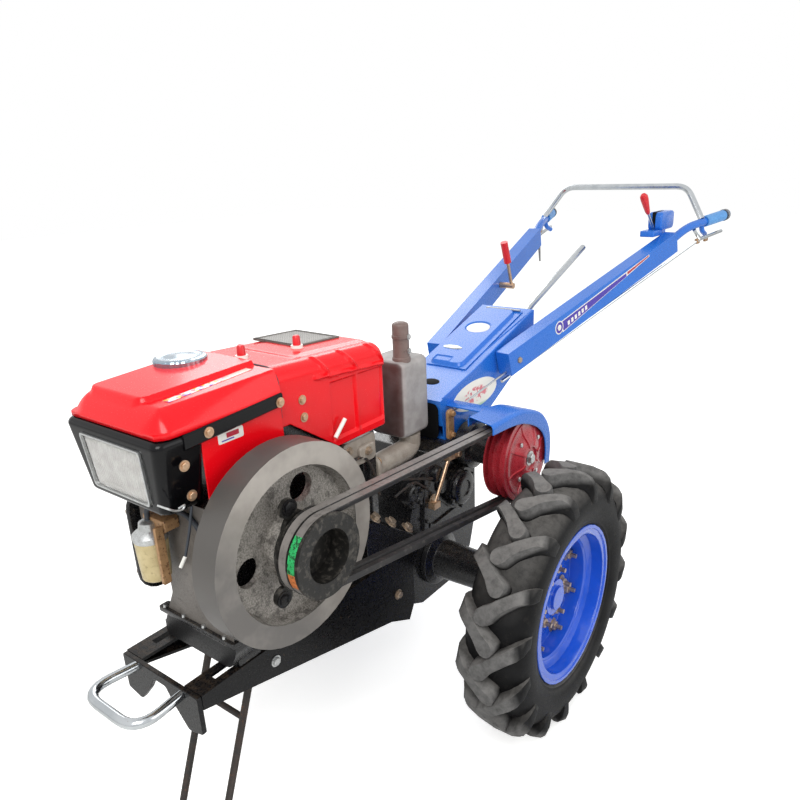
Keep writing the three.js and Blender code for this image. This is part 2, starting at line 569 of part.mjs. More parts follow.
function grip() {
  const a = new THREE.Vector3(...gripStart).lerp(new THREE.Vector3(...gripEnd), 0.45);
  const b = new THREE.Vector3(...gripEnd);
  const tip = b.clone().sub(a).normalize().multiplyScalar(6).add(b);
  return cut(rod(a.toArray(), tip.toArray(), gripRadius + 2, 14), rod(a.clone().sub(b.clone().sub(a)).toArray(),
    b.toArray(), tubeRadius + gap, 14));
}
const gripLeft = grip();
place('grip_left', gripLeft, paint.rubber);
place('grip_right', mirrorX(gripLeft), paint.rubber);

const along = (t, lift) => gripStart.map((c, i) => c + (gripEnd[i] - c) * t + (i === 2 ? lift : 0));
const crossFoot = along(0.36, tubeRadius - 2);
const crossBend = [218, 1311, 1079];
const tubeRoom = rod(along(0, 0), along(0.9, 0), tubeRadius + gap, 16);
place('cross_tube', cut(tube([crossFoot, crossBend, [-crossBend[0], crossBend[1], crossBend[2]],
  [-crossFoot[0], crossFoot[1], crossFoot[2]]], 10, 34, 10, 5), tubeRoom, mirrorX(tubeRoom)), paint.chrome);

// gear levers behind the console
const gateY = 500 + gap;
place('main_shift_lever', join(block(34, 66, gateY, gateY + 12, 756, 792), tube([[50, gateY + 8, 784],
  [50, 545, 802], [50, 874, 922]], 9, 20, 10, 3)), paint.chrome);

// the low and high range lever stands on a pin on the inner face of the right beam
const rangeX = -112;
const rangeLever = join(rod([rangeX - 56, 722, 816], [rangeX + 7, 722, 816], 9, 14), rod([rangeX, 722, 816],
  [rangeX, 692, 900], 5, 10), rod([rangeX, 696, 890], [rangeX, 672, 952], 11, 14));
place('sub_shift_lever', cut(rangeLever, mirrorX(beamBar(gap))), paint.red);

// clutch control on the left handle and the two steering levers under the grips
const clutchControl = join(block(178, 207, 960, 1060, 926, 985), rod([190, 1000, 980], [190, 975, 1030], 5, 10),
  rod([190, 978, 1022], [190, 955, 1078], 11, 12, 13));
place('clutch_lever', cut(clutchControl, beamBar(gap)), paint.red);
const steer = cut(join(rod([275, 1235, 947], [290, 1262, 914], 6, 10), rod([290, 1260, 916], [318, 1400, 930], 6, 10),
  rod([290, 1262, 916], [97, 300, 652], 4.5, 8)), tubeRoom);
place('steering_lever_left', steer, paint.chrome);
place('steering_lever_right', mirrorX(steer), paint.chrome);
place('clutch_rod', join(rod([108, -22, 446], [108, 42, 544], 4.5, 10),
  block(gearboxHalf + gap, 116, 30, 54, 534, 556), block(gearboxHalf + gap, 116, -34, -10, 436, 452)), paint.iron);
place('hitch_bracket', join(block(-40, 40, 176 + gap, 200, 250, 380), block(-30, 30, 196, 260, 270, 290),
  block(-30, 30, 196, 260, 330, 350)), paint.black);

// origin at the middle of the outer box, on the ground
const outer = new THREE.Box3().setFromObject(inner);
inner.position.set(-(outer.min.x + outer.max.x) / 2, -(outer.min.y + outer.max.y) / 2, -outer.min.z);

export default group;
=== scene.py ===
import json
import math

import bmesh
import bpy
import numpy as np
from mathutils import Matrix, Vector

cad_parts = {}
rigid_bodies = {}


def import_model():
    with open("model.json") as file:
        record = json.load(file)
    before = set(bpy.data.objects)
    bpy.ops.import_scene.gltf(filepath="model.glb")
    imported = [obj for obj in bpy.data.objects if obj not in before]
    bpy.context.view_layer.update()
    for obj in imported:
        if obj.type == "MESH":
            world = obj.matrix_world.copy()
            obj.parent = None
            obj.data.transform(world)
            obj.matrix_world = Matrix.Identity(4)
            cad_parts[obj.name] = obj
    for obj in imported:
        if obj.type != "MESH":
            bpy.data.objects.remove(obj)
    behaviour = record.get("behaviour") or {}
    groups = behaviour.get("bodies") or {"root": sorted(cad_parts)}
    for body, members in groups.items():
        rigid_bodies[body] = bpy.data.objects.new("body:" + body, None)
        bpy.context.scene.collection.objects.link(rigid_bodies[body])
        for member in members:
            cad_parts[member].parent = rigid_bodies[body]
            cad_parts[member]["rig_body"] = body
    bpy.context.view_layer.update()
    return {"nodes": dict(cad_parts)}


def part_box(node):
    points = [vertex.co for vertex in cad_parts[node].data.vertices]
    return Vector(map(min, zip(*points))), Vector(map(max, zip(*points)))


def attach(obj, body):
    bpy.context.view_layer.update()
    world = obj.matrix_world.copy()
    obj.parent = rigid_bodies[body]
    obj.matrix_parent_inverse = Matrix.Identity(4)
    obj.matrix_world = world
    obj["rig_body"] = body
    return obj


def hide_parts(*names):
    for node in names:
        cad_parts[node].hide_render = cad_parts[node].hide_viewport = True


# A walking tractor: red single-cylinder diesel, black chassis, blue handle frame.
# Sizes are millimetres from the axle: x to the tractor's left, y to the back, z up from the ground.
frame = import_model()
nodes = frame["nodes"]
tyreLow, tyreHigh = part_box("tyre_left")
axleY = (tyreLow.y + tyreHigh.y) / 2
axleZ = (tyreLow.z + tyreHigh.z) / 2
wheelX = (tyreLow.x + tyreHigh.x) / 2


def placed(points):
    # millimetres from the axle to metres in the part's own frame
    return np.asarray(points, float) * 0.001 + np.array([0.0, axleY, 0.0])


def boxMm(node):
    # lowest and highest corner of a node, in millimetres from the axle
    low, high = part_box(node)
    shift = Vector((0, axleY, 0))
    return np.array(low - shift) * 1000, np.array(high - shift) * 1000


def middleMm(node):
    # a turned node's axle line, as (y, z)
    low, high = boxMm(node)
    return (low[1:] + high[1:]) / 2


# camera and studio
cameraLook = {"x": 958.3, "y": -1203.7, "z": 1183.7, "turn": 36.84, "down": 19.84, "tilt": -2.01,
              "lens": 31.78, "shiftX": -0.0245, "shiftY": 0.0214}


def makeCamera(look):
    # looks down and round by the given angles; tilt rolls it about its own line of sight
    turn, down, tilt = (math.radians(look[k]) for k in ("turn", "down", "tilt"))
    back = Vector((math.sin(turn) * math.cos(down), -math.cos(turn) * math.cos(down), math.sin(down)))
    right = Vector((0, 0, 1)).cross(back).normalized()
    up = back.cross(right)
    side = right * math.cos(tilt) + up * math.sin(tilt)
    top = up * math.cos(tilt) - right * math.sin(tilt)
    lens = bpy.data.cameras.new("camera")
    lens.lens, lens.sensor_width = look["lens"], 36
    lens.shift_x, lens.shift_y = look["shiftX"], look["shiftY"]
    lens.clip_start, lens.clip_end = 0.05, 60
    camera = bpy.data.objects.new("camera", lens)
    bpy.context.scene.collection.objects.link(camera)
    place = Matrix((side, top, back)).transposed().to_4x4()
    place.translation = Vector(placed([look["x"], look["y"], look["z"]]))
    camera.matrix_world = place
    bpy.context.scene.camera = camera


makeCamera(cameraLook)
bpy.context.scene.view_settings.view_transform = "Standard"


# materials
def toLinear(code):
    # sRGB hex to a linear colour
    parts = np.array([int(code[i:i + 2], 16) for i in (1, 3, 5)]) / 255
    return (*np.where(parts <= 0.04045, parts / 12.92, ((parts + 0.055) / 1.055) ** 2.4).tolist(), 1.0)


def addNode(tree, kind, inputs=None, out=0, **settings):
    # one node: settings are its properties, inputs are values or other nodes' outputs; gives back one output
    node = tree.nodes.new("ShaderNode" + kind)
    for key, value in settings.items():
        setattr(node, key, value)
    for key, value in (inputs or {}).items():
        if isinstance(value, bpy.types.NodeSocket):
            tree.links.new(value, node.inputs[key])
        else:
            node.inputs[key].default_value = value
    return node.outputs[out] if node.outputs else None


def startMaterial(name):
    # an empty node tree that reads the mesh's own coordinates
    material = bpy.data.materials.new(name)
    material.use_nodes = True
    tree = material.node_tree
    tree.nodes.clear()
    return material, tree, addNode(tree, "TexCoord", out="Object")


def finishMaterial(material, tree, values, height=None, strength=0.25, deepMm=0.15):
    # relief from a height, then the shader with its values
    if height is not None:
        relief = addNode(tree, "Bump", {"Strength": strength, "Distance": deepMm * 0.001, "Height": height})
        values = {**values, "Normal": relief}
    addNode(tree, "OutputMaterial", {"Surface": addNode(tree, "BsdfPrincipled", values)})
    return material


def blotches(tree, coords, sizeMm, low, high, start=0.0, end=1.0, detail=3.0, rough=0.55):
    # blotches about sizeMm across: noise between low and high becomes start to end
    noise = addNode(tree, "TexNoise", {"Vector": coords, "Scale": 1000 / sizeMm, "Detail": detail,
                                       "Roughness": rough})
    return addNode(tree, "MapRange", {0: noise, 1: low, 2: high, 3: start, 4: end})


def layered(tree, colour, *layers):
    # lays each (share, colour) over the colours before it; a colour is sRGB hex or a node's output
    colour = toLinear(colour) if isinstance(colour, str) else colour
    for share, over in layers:
        over = toLinear(over) if isinstance(over, str) else over
        colour = addNode(tree, "Mix", {0: share, 6: colour, 7: over}, 2, data_type="RGBA")
    return colour


def facing(tree, axis):
    # how much the surface looks along an axis
    return addNode(tree, "SeparateXYZ", {0: addNode(tree, "NewGeometry", out="Normal")}, axis)


def fromCentre(tree, coords, y, z, squeeze=1.0):
    # the distance in metres from a line along x through (y, z); squeeze shrinks it along y
    flat = addNode(tree, "Mapping", {"Vector": coords, "Location": (0, -y * squeeze, -z),
                                     "Scale": (0, squeeze, 1)})
    return addNode(tree, "VectorMath", {0: flat}, "Value", operation="LENGTH")


def coated(name, colour, drift, dirt, grain, rough, driftShare=0.6, topDust=0, footZ=0, metallic=0.0,
           coat=0.0, gleam=0.5):
    # a coat or bare surface: slow colour drift, dirt in blotches and on flat tops, fine grain in the skin
    # drift is (colour, mm), dirt (colour, mm, share, from, to), grain (mm, depth in mm, strength)
    material, tree, coords = startMaterial(name)
    colour = layered(tree, colour, (blotches(tree, coords, drift[1], 0.35, 0.65, 0, driftShare), drift[0]))
    dirtCode, dirtMm, dirtShare, dirtFrom, dirtTo = dirt
    amount = blotches(tree, coords, dirtMm, dirtFrom, dirtTo, 0, dirtShare, 6.0, 0.68)
    if topDust:
        flat = addNode(tree, "MapRange", {0: facing(tree, "Z"), 1: 0.6, 2: 0.95, 4: topDust})
        patchy = blotches(tree, coords, dirtMm, 0.42, 0.62, detail=6.0, rough=0.68)
        dust = addNode(tree, "Math", {0: flat, 1: patchy}, operation="MULTIPLY")
        amount = addNode(tree, "Math", {0: amount, 1: dust}, operation="MAXIMUM")
    colour = layered(tree, colour, (amount, dirtCode))
    if footZ:  # black paint below this height
        level = addNode(tree, "SeparateXYZ", {0: coords}, "Z")
        under = addNode(tree, "MapRange", {0: level, 1: footZ * 0.001, 2: footZ * 0.001 - 0.003})
        colour = layered(tree, colour, (under, "#0d0d0f"))
    fine = addNode(tree, "TexNoise", {"Vector": coords, "Scale": 1000 / grain[0], "Roughness": 0.55})
    skin = addNode(tree, "MapRange", {0: fine, 1: 0.3, 2: 0.7, 3: rough[0], 4: rough[1]})
    dull = addNode(tree, "Math", {0: amount, 1: 0.8}, operation="MULTIPLY")
    return finishMaterial(material, tree, {
        "Base Color": colour, "Roughness": addNode(tree, "Math", {0: skin, 1: dull}, operation="MAXIMUM"),
        "Metallic": metallic, "Coat Weight": coat, "Coat Roughness": 0.06, "Specular IOR Level": gleam},
        fine, grain[2], grain[1])


# stoved gloss enamel on pressed steel: saturated, wet-looking, faint orange peel of about 2 mm
redEnamel = coated("red_gloss_enamel", "#ee0a18", ("#e00614", 160), ("#7a2a22", 14, 0.25, 0.66, 0.78),
                   (2.4, 0.05, 0.2), (0.16, 0.28), coat=0.08, gleam=0.3)
# the same kind of enamel on the handle frame, a mid blue that dulls a little where hands rub it
blueEnamel = coated("blue_gloss_enamel", "#2670d0", ("#2068c6", 140), ("#274a86", 14, 0.3, 0.64, 0.76),
                    (2.4, 0.05, 0.2), (0.2, 0.34), topDust=0.1, coat=0.1, gleam=0.4)
# deep blue wheel enamel, thick and glassy over the rolled rim
rimEnamel = coated("blue_wheel_enamel", "#2258cc", ("#1c4cba", 70), ("#2a2a34", 14, 0.5, 0.66, 0.78),
                   (3.0, 0.06, 0.2), (0.1, 0.2), coat=0.4, gleam=0.4)
# brushed-on gloss black over pressed steel: the light catches its folds as thin bright lines
blackEnamel = coated("black_gloss_enamel", "#08080a", ("#0d0d10", 60), ("#4a443c", 14, 0.35, 0.64, 0.75),
                     (3.0, 0.08, 0.25), (0.12, 0.26), gleam=0.22)
# chassis black over hot-rolled plate: satin, lumpy, with brown dust in the low spots
chassisBlack = coated("chassis_black", "#0a0a0c", ("#141416", 45), ("#5a4a3a", 11, 0.55, 0.62, 0.74),
                      (4.0, 0.3, 0.45), (0.2, 0.42), topDust=0.3, gleam=0.22)
# the same black over sand castings: coarser and patchily glossy
castBlack = coated("black_painted_casting", "#111113", ("#222224", 30), ("#6e6252", 9, 0.6, 0.6, 0.72),
                   (3.0, 0.5, 0.6), (0.12, 0.4), topDust=0.2)
# black over a turned pulley, rubbed through to grey iron in specks
wornPulley = coated("worn_pulley_black", "#161615", ("#24221f", 18), ("#6a655e", 12, 0.5, 0.5, 0.66),
                    (2.4, 0.4, 0.6), (0.3, 0.5), gleam=0.35)
# bare black bar with brown rust specks, quite matt
rustySteel = coated("rusty_black_bar", "#1c1a19", ("#3a2a20", 20), ("#7c4a24", 7, 0.7, 0.58, 0.7),
                    (2.2, 0.5, 0.7), (0.5, 0.75))
# dark red enamel on the clutch castings, with oily black dirt
clutchRed = coated("dark_red_enamel", "#b8343e", ("#96242e", 22), ("#2c1a18", 8, 0.6, 0.6, 0.72),
                   (2.6, 0.3, 0.5), (0.2, 0.4), coat=0.3)
# grey heat paint, flat and chalky, and the same browned on the stack
greyPaint = coated("grey_heat_paint", "#8c8a88", ("#7d7b79", 60), ("#564a40", 10, 0.5, 0.6, 0.74),
                   (1.6, 0.12, 0.4), (0.48, 0.62))
stackBrown = coated("browned_stack_paint", "#77655f", ("#5e4c48", 26), ("#3c2e2a", 9, 0.6, 0.58, 0.72),
                    (1.6, 0.12, 0.4), (0.4, 0.55))
# sand-cast iron that has been hot: grey-beige, coarse, browned in patches
elbowIron = coated("sand_cast_iron", "#a39a8f", ("#7c7167", 24), ("#5c4c40", 8, 0.5, 0.58, 0.72),
                   (2.4, 0.6, 0.8), (0.26, 0.44))
# bright plating over steel tube: mirror-like with soft brown specks; on the tank cap the plating is darker
# and blue-grey, a painted dark reflection
chromePlate = coated("bright_chrome_plate", "#c6cacd", ("#acb1b5", 30), ("#8a6a48", 6, 0.35, 0.64, 0.72),
                     (2.0, 0.04, 0.2), (0.1, 0.22), metallic=1.0)
capChromeDarkReflection = coated("tank_cap_chrome_dark_reflection", "#93a5b4", ("#c3cad0", 24), ("#7a6250", 6, 0.35, 0.62, 0.7),
                   (2.0, 0.04, 0.2), (0.12, 0.24), metallic=1.0)
# zinc on fasteners: pale gold and half dull, the same gone grey-brown with oil, and clear zinc
zincPlate = coated("yellow_zinc_plate", "#d2b294", ("#ac8a6c", 6), ("#6a5038", 4, 0.5, 0.58, 0.7),
                   (1.2, 0.08, 0.25), (0.28, 0.45), metallic=0.85)
dulledZinc = coated("dulled_zinc_plate", "#b9a794", ("#93806c", 6), ("#54453a", 4, 0.6, 0.56, 0.68),
                    (1.2, 0.08, 0.25), (0.3, 0.48), metallic=0.7)
silverZinc = coated("clear_zinc_plate", "#c9cbcb", ("#a8a9a8", 8), ("#6c6258", 4, 0.5, 0.58, 0.7),
                    (1.2, 0.08, 0.25), (0.25, 0.42), metallic=0.9)
# pale blue moulded grip sleeves, and the dark rubber of their end rings, the hose and the seam
gripBlue = coated("blue_grip_sleeve", "#5a9ad8", ("#4a8acb", 18), ("#3a5a86", 6, 0.4, 0.6, 0.72),
                  (1.6, 0.1, 0.25), (0.35, 0.5))
gripRubber = coated("grip_rubber", "#2c3138", ("#3a4048", 18), ("#77736c", 5, 0.4, 0.6, 0.72),
                    (1.6, 0.2, 0.5), (0.5, 0.7))
# grey primer on the nose of the crankcase, oily in patches
crankGrey = coated("grey_crankcase_paint", "#6c6762", ("#57524e", 40), ("#2c2a28", 12, 0.7, 0.56, 0.7),
                   (2.4, 0.3, 0.5), (0.35, 0.55), footZ=452, gleam=0.35)
# amber varnish over steel brackets, blackened at the edges
bracketVarnish = coated("varnished_bracket", "#b08a62", ("#8e6a48", 14), ("#4a3020", 6, 0.8, 0.54, 0.64),
                        (1.6, 0.15, 0.25), (0.3, 0.5), metallic=0.3)
# painted shade: a near-black coat on plates that stand for the unlit inside of sheet-metal boxes, slots and
# holes
deepShade = coated("unlit_inside", "#050506", ("#0c0b0b", 20), ("#1c1814", 14, 0.3, 0.6, 0.72),
                   (3.0, 0.15, 0.25), (0.6, 0.8), gleam=0.15)
# belts: black rubber sides, a back gone grey with dust, and green and orange print worn through to dark
beltRubber = coated("belt_rubber", "#1c1b1c", ("#2c2a2a", 30), ("#76726c", 12, 0.45, 0.56, 0.74),
                    (1.5, 0.2, 0.5), (0.38, 0.6))
beltDust = coated("dusty_belt_canvas", "#7d7874", ("#625e5b", 40), ("#3a3634", 10, 0.6, 0.52, 0.68),
                  (1.5, 0.2, 0.5), (0.4, 0.6))
labelGreen = coated("green_belt_print", "#1f9a52", ("#2fb566", 6), ("#0c2c1a", 5, 0.9, 0.52, 0.55),
                    (2.0, 0.15, 0.25), (0.4, 0.55), driftShare=0.9)
labelOrange = coated("orange_belt_print", "#c8743a", ("#a85a2a", 6), ("#4a2a18", 4, 0.8, 0.52, 0.62),
                     (2.0, 0.15, 0.25), (0.4, 0.6))
# cream moulded filter bowl, stained brown low down by fuel
creamBowl = coated("cream_filter_bowl", "#c9b98c", ("#a9976a", 26), ("#6e5a34", 9, 0.6, 0.55, 0.72),
                   (1.6, 0.15, 0.25), (0.3, 0.45))
# red moulded plastic of knobs and pegs, and smooth vinyl of labels and stripes
redPlastic = coated("red_moulded_plastic", "#d8232b", ("#c21a22", 12), ("#6e2a26", 5, 0.3, 0.6, 0.72),
                    (1.4, 0.05, 0.25), (0.25, 0.4))
whiteVinyl = coated("white_vinyl", "#eceae4", ("#dedcd4", 20), ("#b8a890", 7, 0.35, 0.6, 0.72),
                    (3.0, 0.03, 0.25), (0.25, 0.38))
stripePurple = coated("purple_vinyl", "#4a35a8", ("#3d2c98", 30), ("#8a80c0", 5, 0.25, 0.6, 0.72),
                      (3.0, 0.03, 0.25), (0.25, 0.38))
stripeRed = coated("red_vinyl", "#b8243a", ("#a01c34", 30), ("#d88a90", 5, 0.25, 0.6, 0.72),
                   (3.0, 0.03, 0.25), (0.25, 0.38))
print("materials: coats made")


def flywheelIron():
    # grey iron: a turned rim with fine rings and a rough cast dish, split by the distance from the shaft
    material, tree, coords = startMaterial("turned_and_cast_iron")
    low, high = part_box("flywheel")
    middle = (low + high) / 2
    away = fromCentre(tree, coords, middle.y, middle.z)
    turned = addNode(tree, "MapRange", {0: away, 1: 0.1325, 2: 0.1345})
    # painted shade: the rim's outer cylinder gets a darker copy of the machined colour, chosen by the
    # direction it faces
    shadedRimSide = addNode(tree, "MapRange", {0: facing(tree, "X"), 1: 0.75, 2: 0.35})
    # painted shade: the low and forward part of the turned face is darkened
    centred = addNode(tree, "Mapping", {"Vector": coords, "Location": (0, -middle.y, -middle.z)})
    slant = addNode(tree, "VectorMath", {0: centred, 1: (0, 1, 0.8)}, "Value", operation="DOT_PRODUCT")
    lowFore = addNode(tree, "MapRange", {0: slant, 1: -0.02, 2: -0.14})
    lowShade = addNode(tree, "Math", {0: lowFore, 1: blotches(tree, coords, 60, 0.3, 0.5, 0.75)},
                   operation="MULTIPLY")
    machined = layered(tree, "#aca69f", (blotches(tree, coords, 60, 0.35, 0.65), "#938d87"),
                       (lowShade, "#6a6764"), (shadedRimSide, "#5a5754"))
    speck = addNode(tree, "TexNoise", {"Vector": coords, "Scale": 1000 / 3, "Detail": 5.0, "Roughness": 0.7})
    cast = layered(tree, "#6a6661", (addNode(tree, "MapRange", {0: speck, 1: 0.36, 2: 0.6}), "#a9a49d"),
                   (blotches(tree, coords, 16, 0.5, 0.62, 0, 0.65, 5.0, 0.7), "#3a3633"))
    # turning marks 1.2 mm apart, coarser than real ones so that they show
    phase = addNode(tree, "Math", {0: away, 1: 2 * math.pi / 0.0012}, operation="MULTIPLY")
    rings = addNode(tree, "Math", {0: addNode(tree, "Math", {0: phase}, operation="SINE"), 1: 0.03},
                    operation="MULTIPLY")
    height = addNode(tree, "Mix", {0: turned, 2: speck, 3: rings}, data_type="FLOAT")
    rough = addNode(tree, "MapRange", {0: turned, 3: 0.45, 4: 0.42})
    colour = layered(tree, cast, (turned, machined))
    return finishMaterial(material, tree, {"Base Color": colour, "Roughness": rough, "Metallic": 0.35},
                          height, 0.7, 1.2)


def tyreRubber():
    # filled natural rubber: near black, scuffed grey on the lugs' tops, and pale on what faces up, partly
    # dust and partly painted light from above
    material, tree, coords = startMaterial("tractor_tyre_rubber")
    blotch = addNode(tree, "TexNoise", {"Vector": coords, "Scale": 1000 / 16, "Detail": 5.0,
                                        "Roughness": 0.65})
    shares = {}
    # the second share lightens whatever faces up in the world, whichever way the wheel has turned: partly
    # dust, partly painted light from above
    for name, source, reach, patchy in (
            ("scuff", fromCentre(tree, coords, axleY, axleZ), (0.266, 0.280, 1.0), (0.3, 0.62, 0.45)),
            ("dustAndTopLight", facing(tree, "Z"), (0.3, 0.95, 0.4), (0.3, 0.55, 0.5))):
        wide = addNode(tree, "MapRange", {0: source, 1: reach[0], 2: reach[1], 4: reach[2]})
        broken = addNode(tree, "MapRange", {0: blotch, 1: patchy[0], 2: patchy[1], 3: patchy[2]})
        shares[name] = addNode(tree, "Math", {0: wide, 1: broken}, operation="MULTIPLY")
    dusty = addNode(tree, "MapRange", {0: blotch, 1: 0.56, 2: 0.75, 4: 0.35})
    colour = layered(tree, "#0c0c0d", (blotches(tree, coords, 45, 0.35, 0.65), "#161617"), (dusty, "#3c3935"),
                     (shares["scuff"], "#666564"), (shares["dustAndTopLight"], "#8b8884"))
    fine = addNode(tree, "TexNoise", {"Vector": coords, "Scale": 1000 / 2.2, "Detail": 4.0, "Roughness": 0.6})
    rough = addNode(tree, "MapRange", {0: fine, 1: 0.3, 2: 0.7, 3: 0.45, 4: 0.65})
    return finishMaterial(material, tree, {"Base Color": colour, "Roughness": rough, "IOR": 1.52,
                                           "Specular IOR Level": 0.12}, fine, 0.5, 0.5)


def lampGlass():
    # pressed soda-lime lens, milky with dust; its flutes are in the mesh
    material, tree, coords = startMaterial("fluted_lamp_glass")
    haze = layered(tree, "#f6f5f2", (blotches(tree, coords, 22, 0.35, 0.7, detail=5.0), "#dcdad6"))
    rough = blotches(tree, coords, 3, 0.3, 0.7, 0.12, 0.26)
    return finishMaterial(material, tree, {"Base Color": haze, "Roughness": rough, "IOR": 1.52,
                                           "Transmission Weight": 0.55})


def mufflerPaint():
    # grey heat paint; the face nearest the engine is browned by heat and darkened as painted shade
    material, tree, coords = startMaterial("browned_and_shaded_heat_paint")
    near = addNode(tree, "MapRange", {0: facing(tree, "Y"), 1: -0.6, 2: -0.78})
    patch = blotches(tree, coords, 30, 0.2, 0.6, 0.8, detail=4.0)
    # heat browning and painted shade together, as one dark brown on the engine-facing face
    brownAndShade = addNode(tree, "Math", {0: near, 1: patch}, operation="MULTIPLY")
    colour = layered(tree, "#a5a19f", (blotches(tree, coords, 30, 0.35, 0.65, detail=4.0), "#918d8b"),
                     (brownAndShade, "#513c3a"))
    fine = addNode(tree, "TexNoise", {"Vector": coords, "Scale": 1000 / 1.8, "Roughness": 0.55})
    rough = addNode(tree, "MapRange", {0: fine, 1: 0.3, 2: 0.7, 3: 0.4, 4: 0.55})
    return finishMaterial(material, tree, {"Base Color": colour, "Roughness": rough}, fine, 0.35, 0.2)


def stickerStrip():
    # printed vinyl strip: pale ground with blocks of violet, yellow and red towards its front, no lettering
    material, tree, coords = startMaterial("printed_vinyl_strip")
    cells = addNode(tree, "TexVoronoi", {"Vector": coords, "Scale": 150.0}, "Color")
    bands = addNode(tree, "ValToRGB", {"Fac": addNode(tree, "SeparateXYZ", {0: cells}, "X")})
    blocks = bands.node.color_ramp
    blocks.interpolation = "CONSTANT"
    stops = ((0.0, "#f4f0ea"), (0.4, "#e8cc20"), (0.53, "#8a50b0"), (0.66, "#e8e2f0"), (0.86, "#d04a5c"))
    for k, (where, code) in enumerate(stops):
        stop = blocks.elements[k] if k < 2 else blocks.elements.new(where)
        stop.position, stop.color = where, toLinear(code)
    along, start = addNode(tree, "SeparateXYZ", {0: coords}, "Y"), placed([0, -640, 0])[1]
    fade = addNode(tree, "MapRange", {0: along, 1: start + 0.08, 2: start + 0.13})
    return finishMaterial(material, tree, {"Base Color": layered(tree, bands, (fade, "#e6dcd2")),
                                           "Roughness": 0.3, "Coat Weight": 0.3})


def ovalSticker():
    # white vinyl oval with rosy blots in its middle and a green lower edge, blank
    material, tree, coords = startMaterial("oval_vinyl_sticker")
    _, y, z = placed([0, 200, 644])
    middle = addNode(tree, "MapRange", {0: fromCentre(tree, coords, y, z, 0.36), 1: 0.021, 2: 0.017})
    rosy = addNode(tree, "Math", {0: blotches(tree, coords, 11, 0.5, 0.54, detail=1.0), 1: middle},
                   operation="MULTIPLY")
    level = addNode(tree, "SeparateXYZ", {0: coords}, "Z")
    green = addNode(tree, "MapRange", {0: level, 1: 0.618, 2: 0.612, 4: 0.7})
    colour = layered(tree, "#f4f1e6", (rosy, "#e0707c"), (green, "#5cb88a"))
    return finishMaterial(material, tree, {"Base Color": colour, "Roughness": 0.3, "Coat Weight": 0.4})


def wireMesh():
    # woven grille wire over painted shade: the openings between the wires are a dark flat colour standing for
    # the shadowed inside; a 6 mm square weave drawn in colour and relief
    material, tree, coords = startMaterial("woven_grille_wire")
    wires = []
    for axis in ("X", "Y"):
        along = addNode(tree, "SeparateXYZ", {0: coords}, axis)
        phase = addNode(tree, "Math", {0: along, 1: 2 * math.pi / 0.006}, operation="MULTIPLY")
        wires.append(addNode(tree, "MapRange", {0: addNode(tree, "Math", {0: phase}, operation="SINE"),
                                                1: 0.3, 2: 0.8}))
    wire = addNode(tree, "Math", {0: wires[0], 1: wires[1]}, operation="MAXIMUM")
    return finishMaterial(material, tree, {"Base Color": layered(tree, "#3c3a38", (wire, "#a7a49f")),
                                           "Metallic": 0.5, "Roughness": 0.45}, wire, 0.8, 1.0)


flywheelMetal = flywheelIron()
tyreBlack = tyreRubber()
lensGlass = lampGlass()
mufflerGrey = mufflerPaint()
print("materials: all made")


# mesh helpers
def gridShape(points, aroundU=False, aroundV=False):
    # quads over a grid of points; aroundU or aroundV joins the last row to the first
    points = np.asarray(points, float)
    nu, nv = points.shape[:2]
    u, v = np.meshgrid(np.arange(nu if aroundU else nu - 1), np.arange(nv if aroundV else nv - 1),
                       indexing="ij")
    u, v = u.ravel(), v.ravel()
    un, vn = (u + 1) % nu, (v + 1) % nv
    quads = np.stack([u * nv + v, un * nv + v, un * nv + vn, u * nv + vn], 1)
    return points.reshape(-1, 3), quads.tolist()


def closedShape(rings):
    # rings of points joined one after the other, with both ends capped
    points, faces = gridShape(rings, aroundV=True)
    n = np.shape(rings)[1]
    return points, faces + [list(range(n))[::-1], list(range(len(points) - n, len(points)))]


def turnedShape(profile, centre, sides=96, axis="x"):
    # a profile of (along, radius) points turned about a line through centre along x or z
    profile = np.asarray(profile, float)
    turn = np.linspace(0, 2 * math.pi, sides, endpoint=False)
    along = np.repeat(profile[:, :1], sides, 1)
    a, b = profile[:, 1:] * np.cos(turn), profile[:, 1:] * np.sin(turn)
    order = (along, a, b) if axis == "x" else (a, b, along)
    return gridShape(np.stack(order, 2) + np.asarray(centre, float), aroundV=True)


def tubeShape(path, radius, sides=16):
    # circles of the given radius carried along a path; the side vectors come from the path's own plane
    path = np.asarray(path, float)
    ahead = np.gradient(path, axis=0)
    ahead /= np.linalg.norm(ahead, axis=1, keepdims=True)
    spread = np.linalg.svd(path - path.mean(0))[2][2]
    if np.abs(ahead @ spread).max() > 0.9:
        spread = np.array([0.3, 0.5, 0.8])
    first = np.cross(ahead, spread)
    first /= np.linalg.norm(first, axis=1, keepdims=True)
    second = np.cross(ahead, first)
    turn = np.linspace(0, 2 * math.pi, sides, endpoint=False)[None, :, None]
    radius = np.broadcast_to(np.asarray(radius, float), (len(path),))[:, None, None]
    return closedShape(path[:, None] + radius * (np.cos(turn) * first[:, None]
                                                 + np.sin(turn) * second[:, None]))


def bentPath(corners, bend=20, steps=8):
    # straight runs with each corner rounded by a quadratic curve
    corners = np.asarray(corners, float)
    out = [corners[:1]]
    t = np.linspace(0, 1, steps)[:, None]
    for before, here, after in zip(corners[:-2], corners[1:-1], corners[2:]):
        back, on = before - here, after - here
        start = here + back / np.linalg.norm(back) * min(bend, np.linalg.norm(back) * 0.45)
        end = here + on / np.linalg.norm(on) * min(bend, np.linalg.norm(on) * 0.45)
        out.append(start * (1 - t) ** 2 + 2 * here * t * (1 - t) + end * t * t)
    return np.concatenate(out + [corners[-1:]])


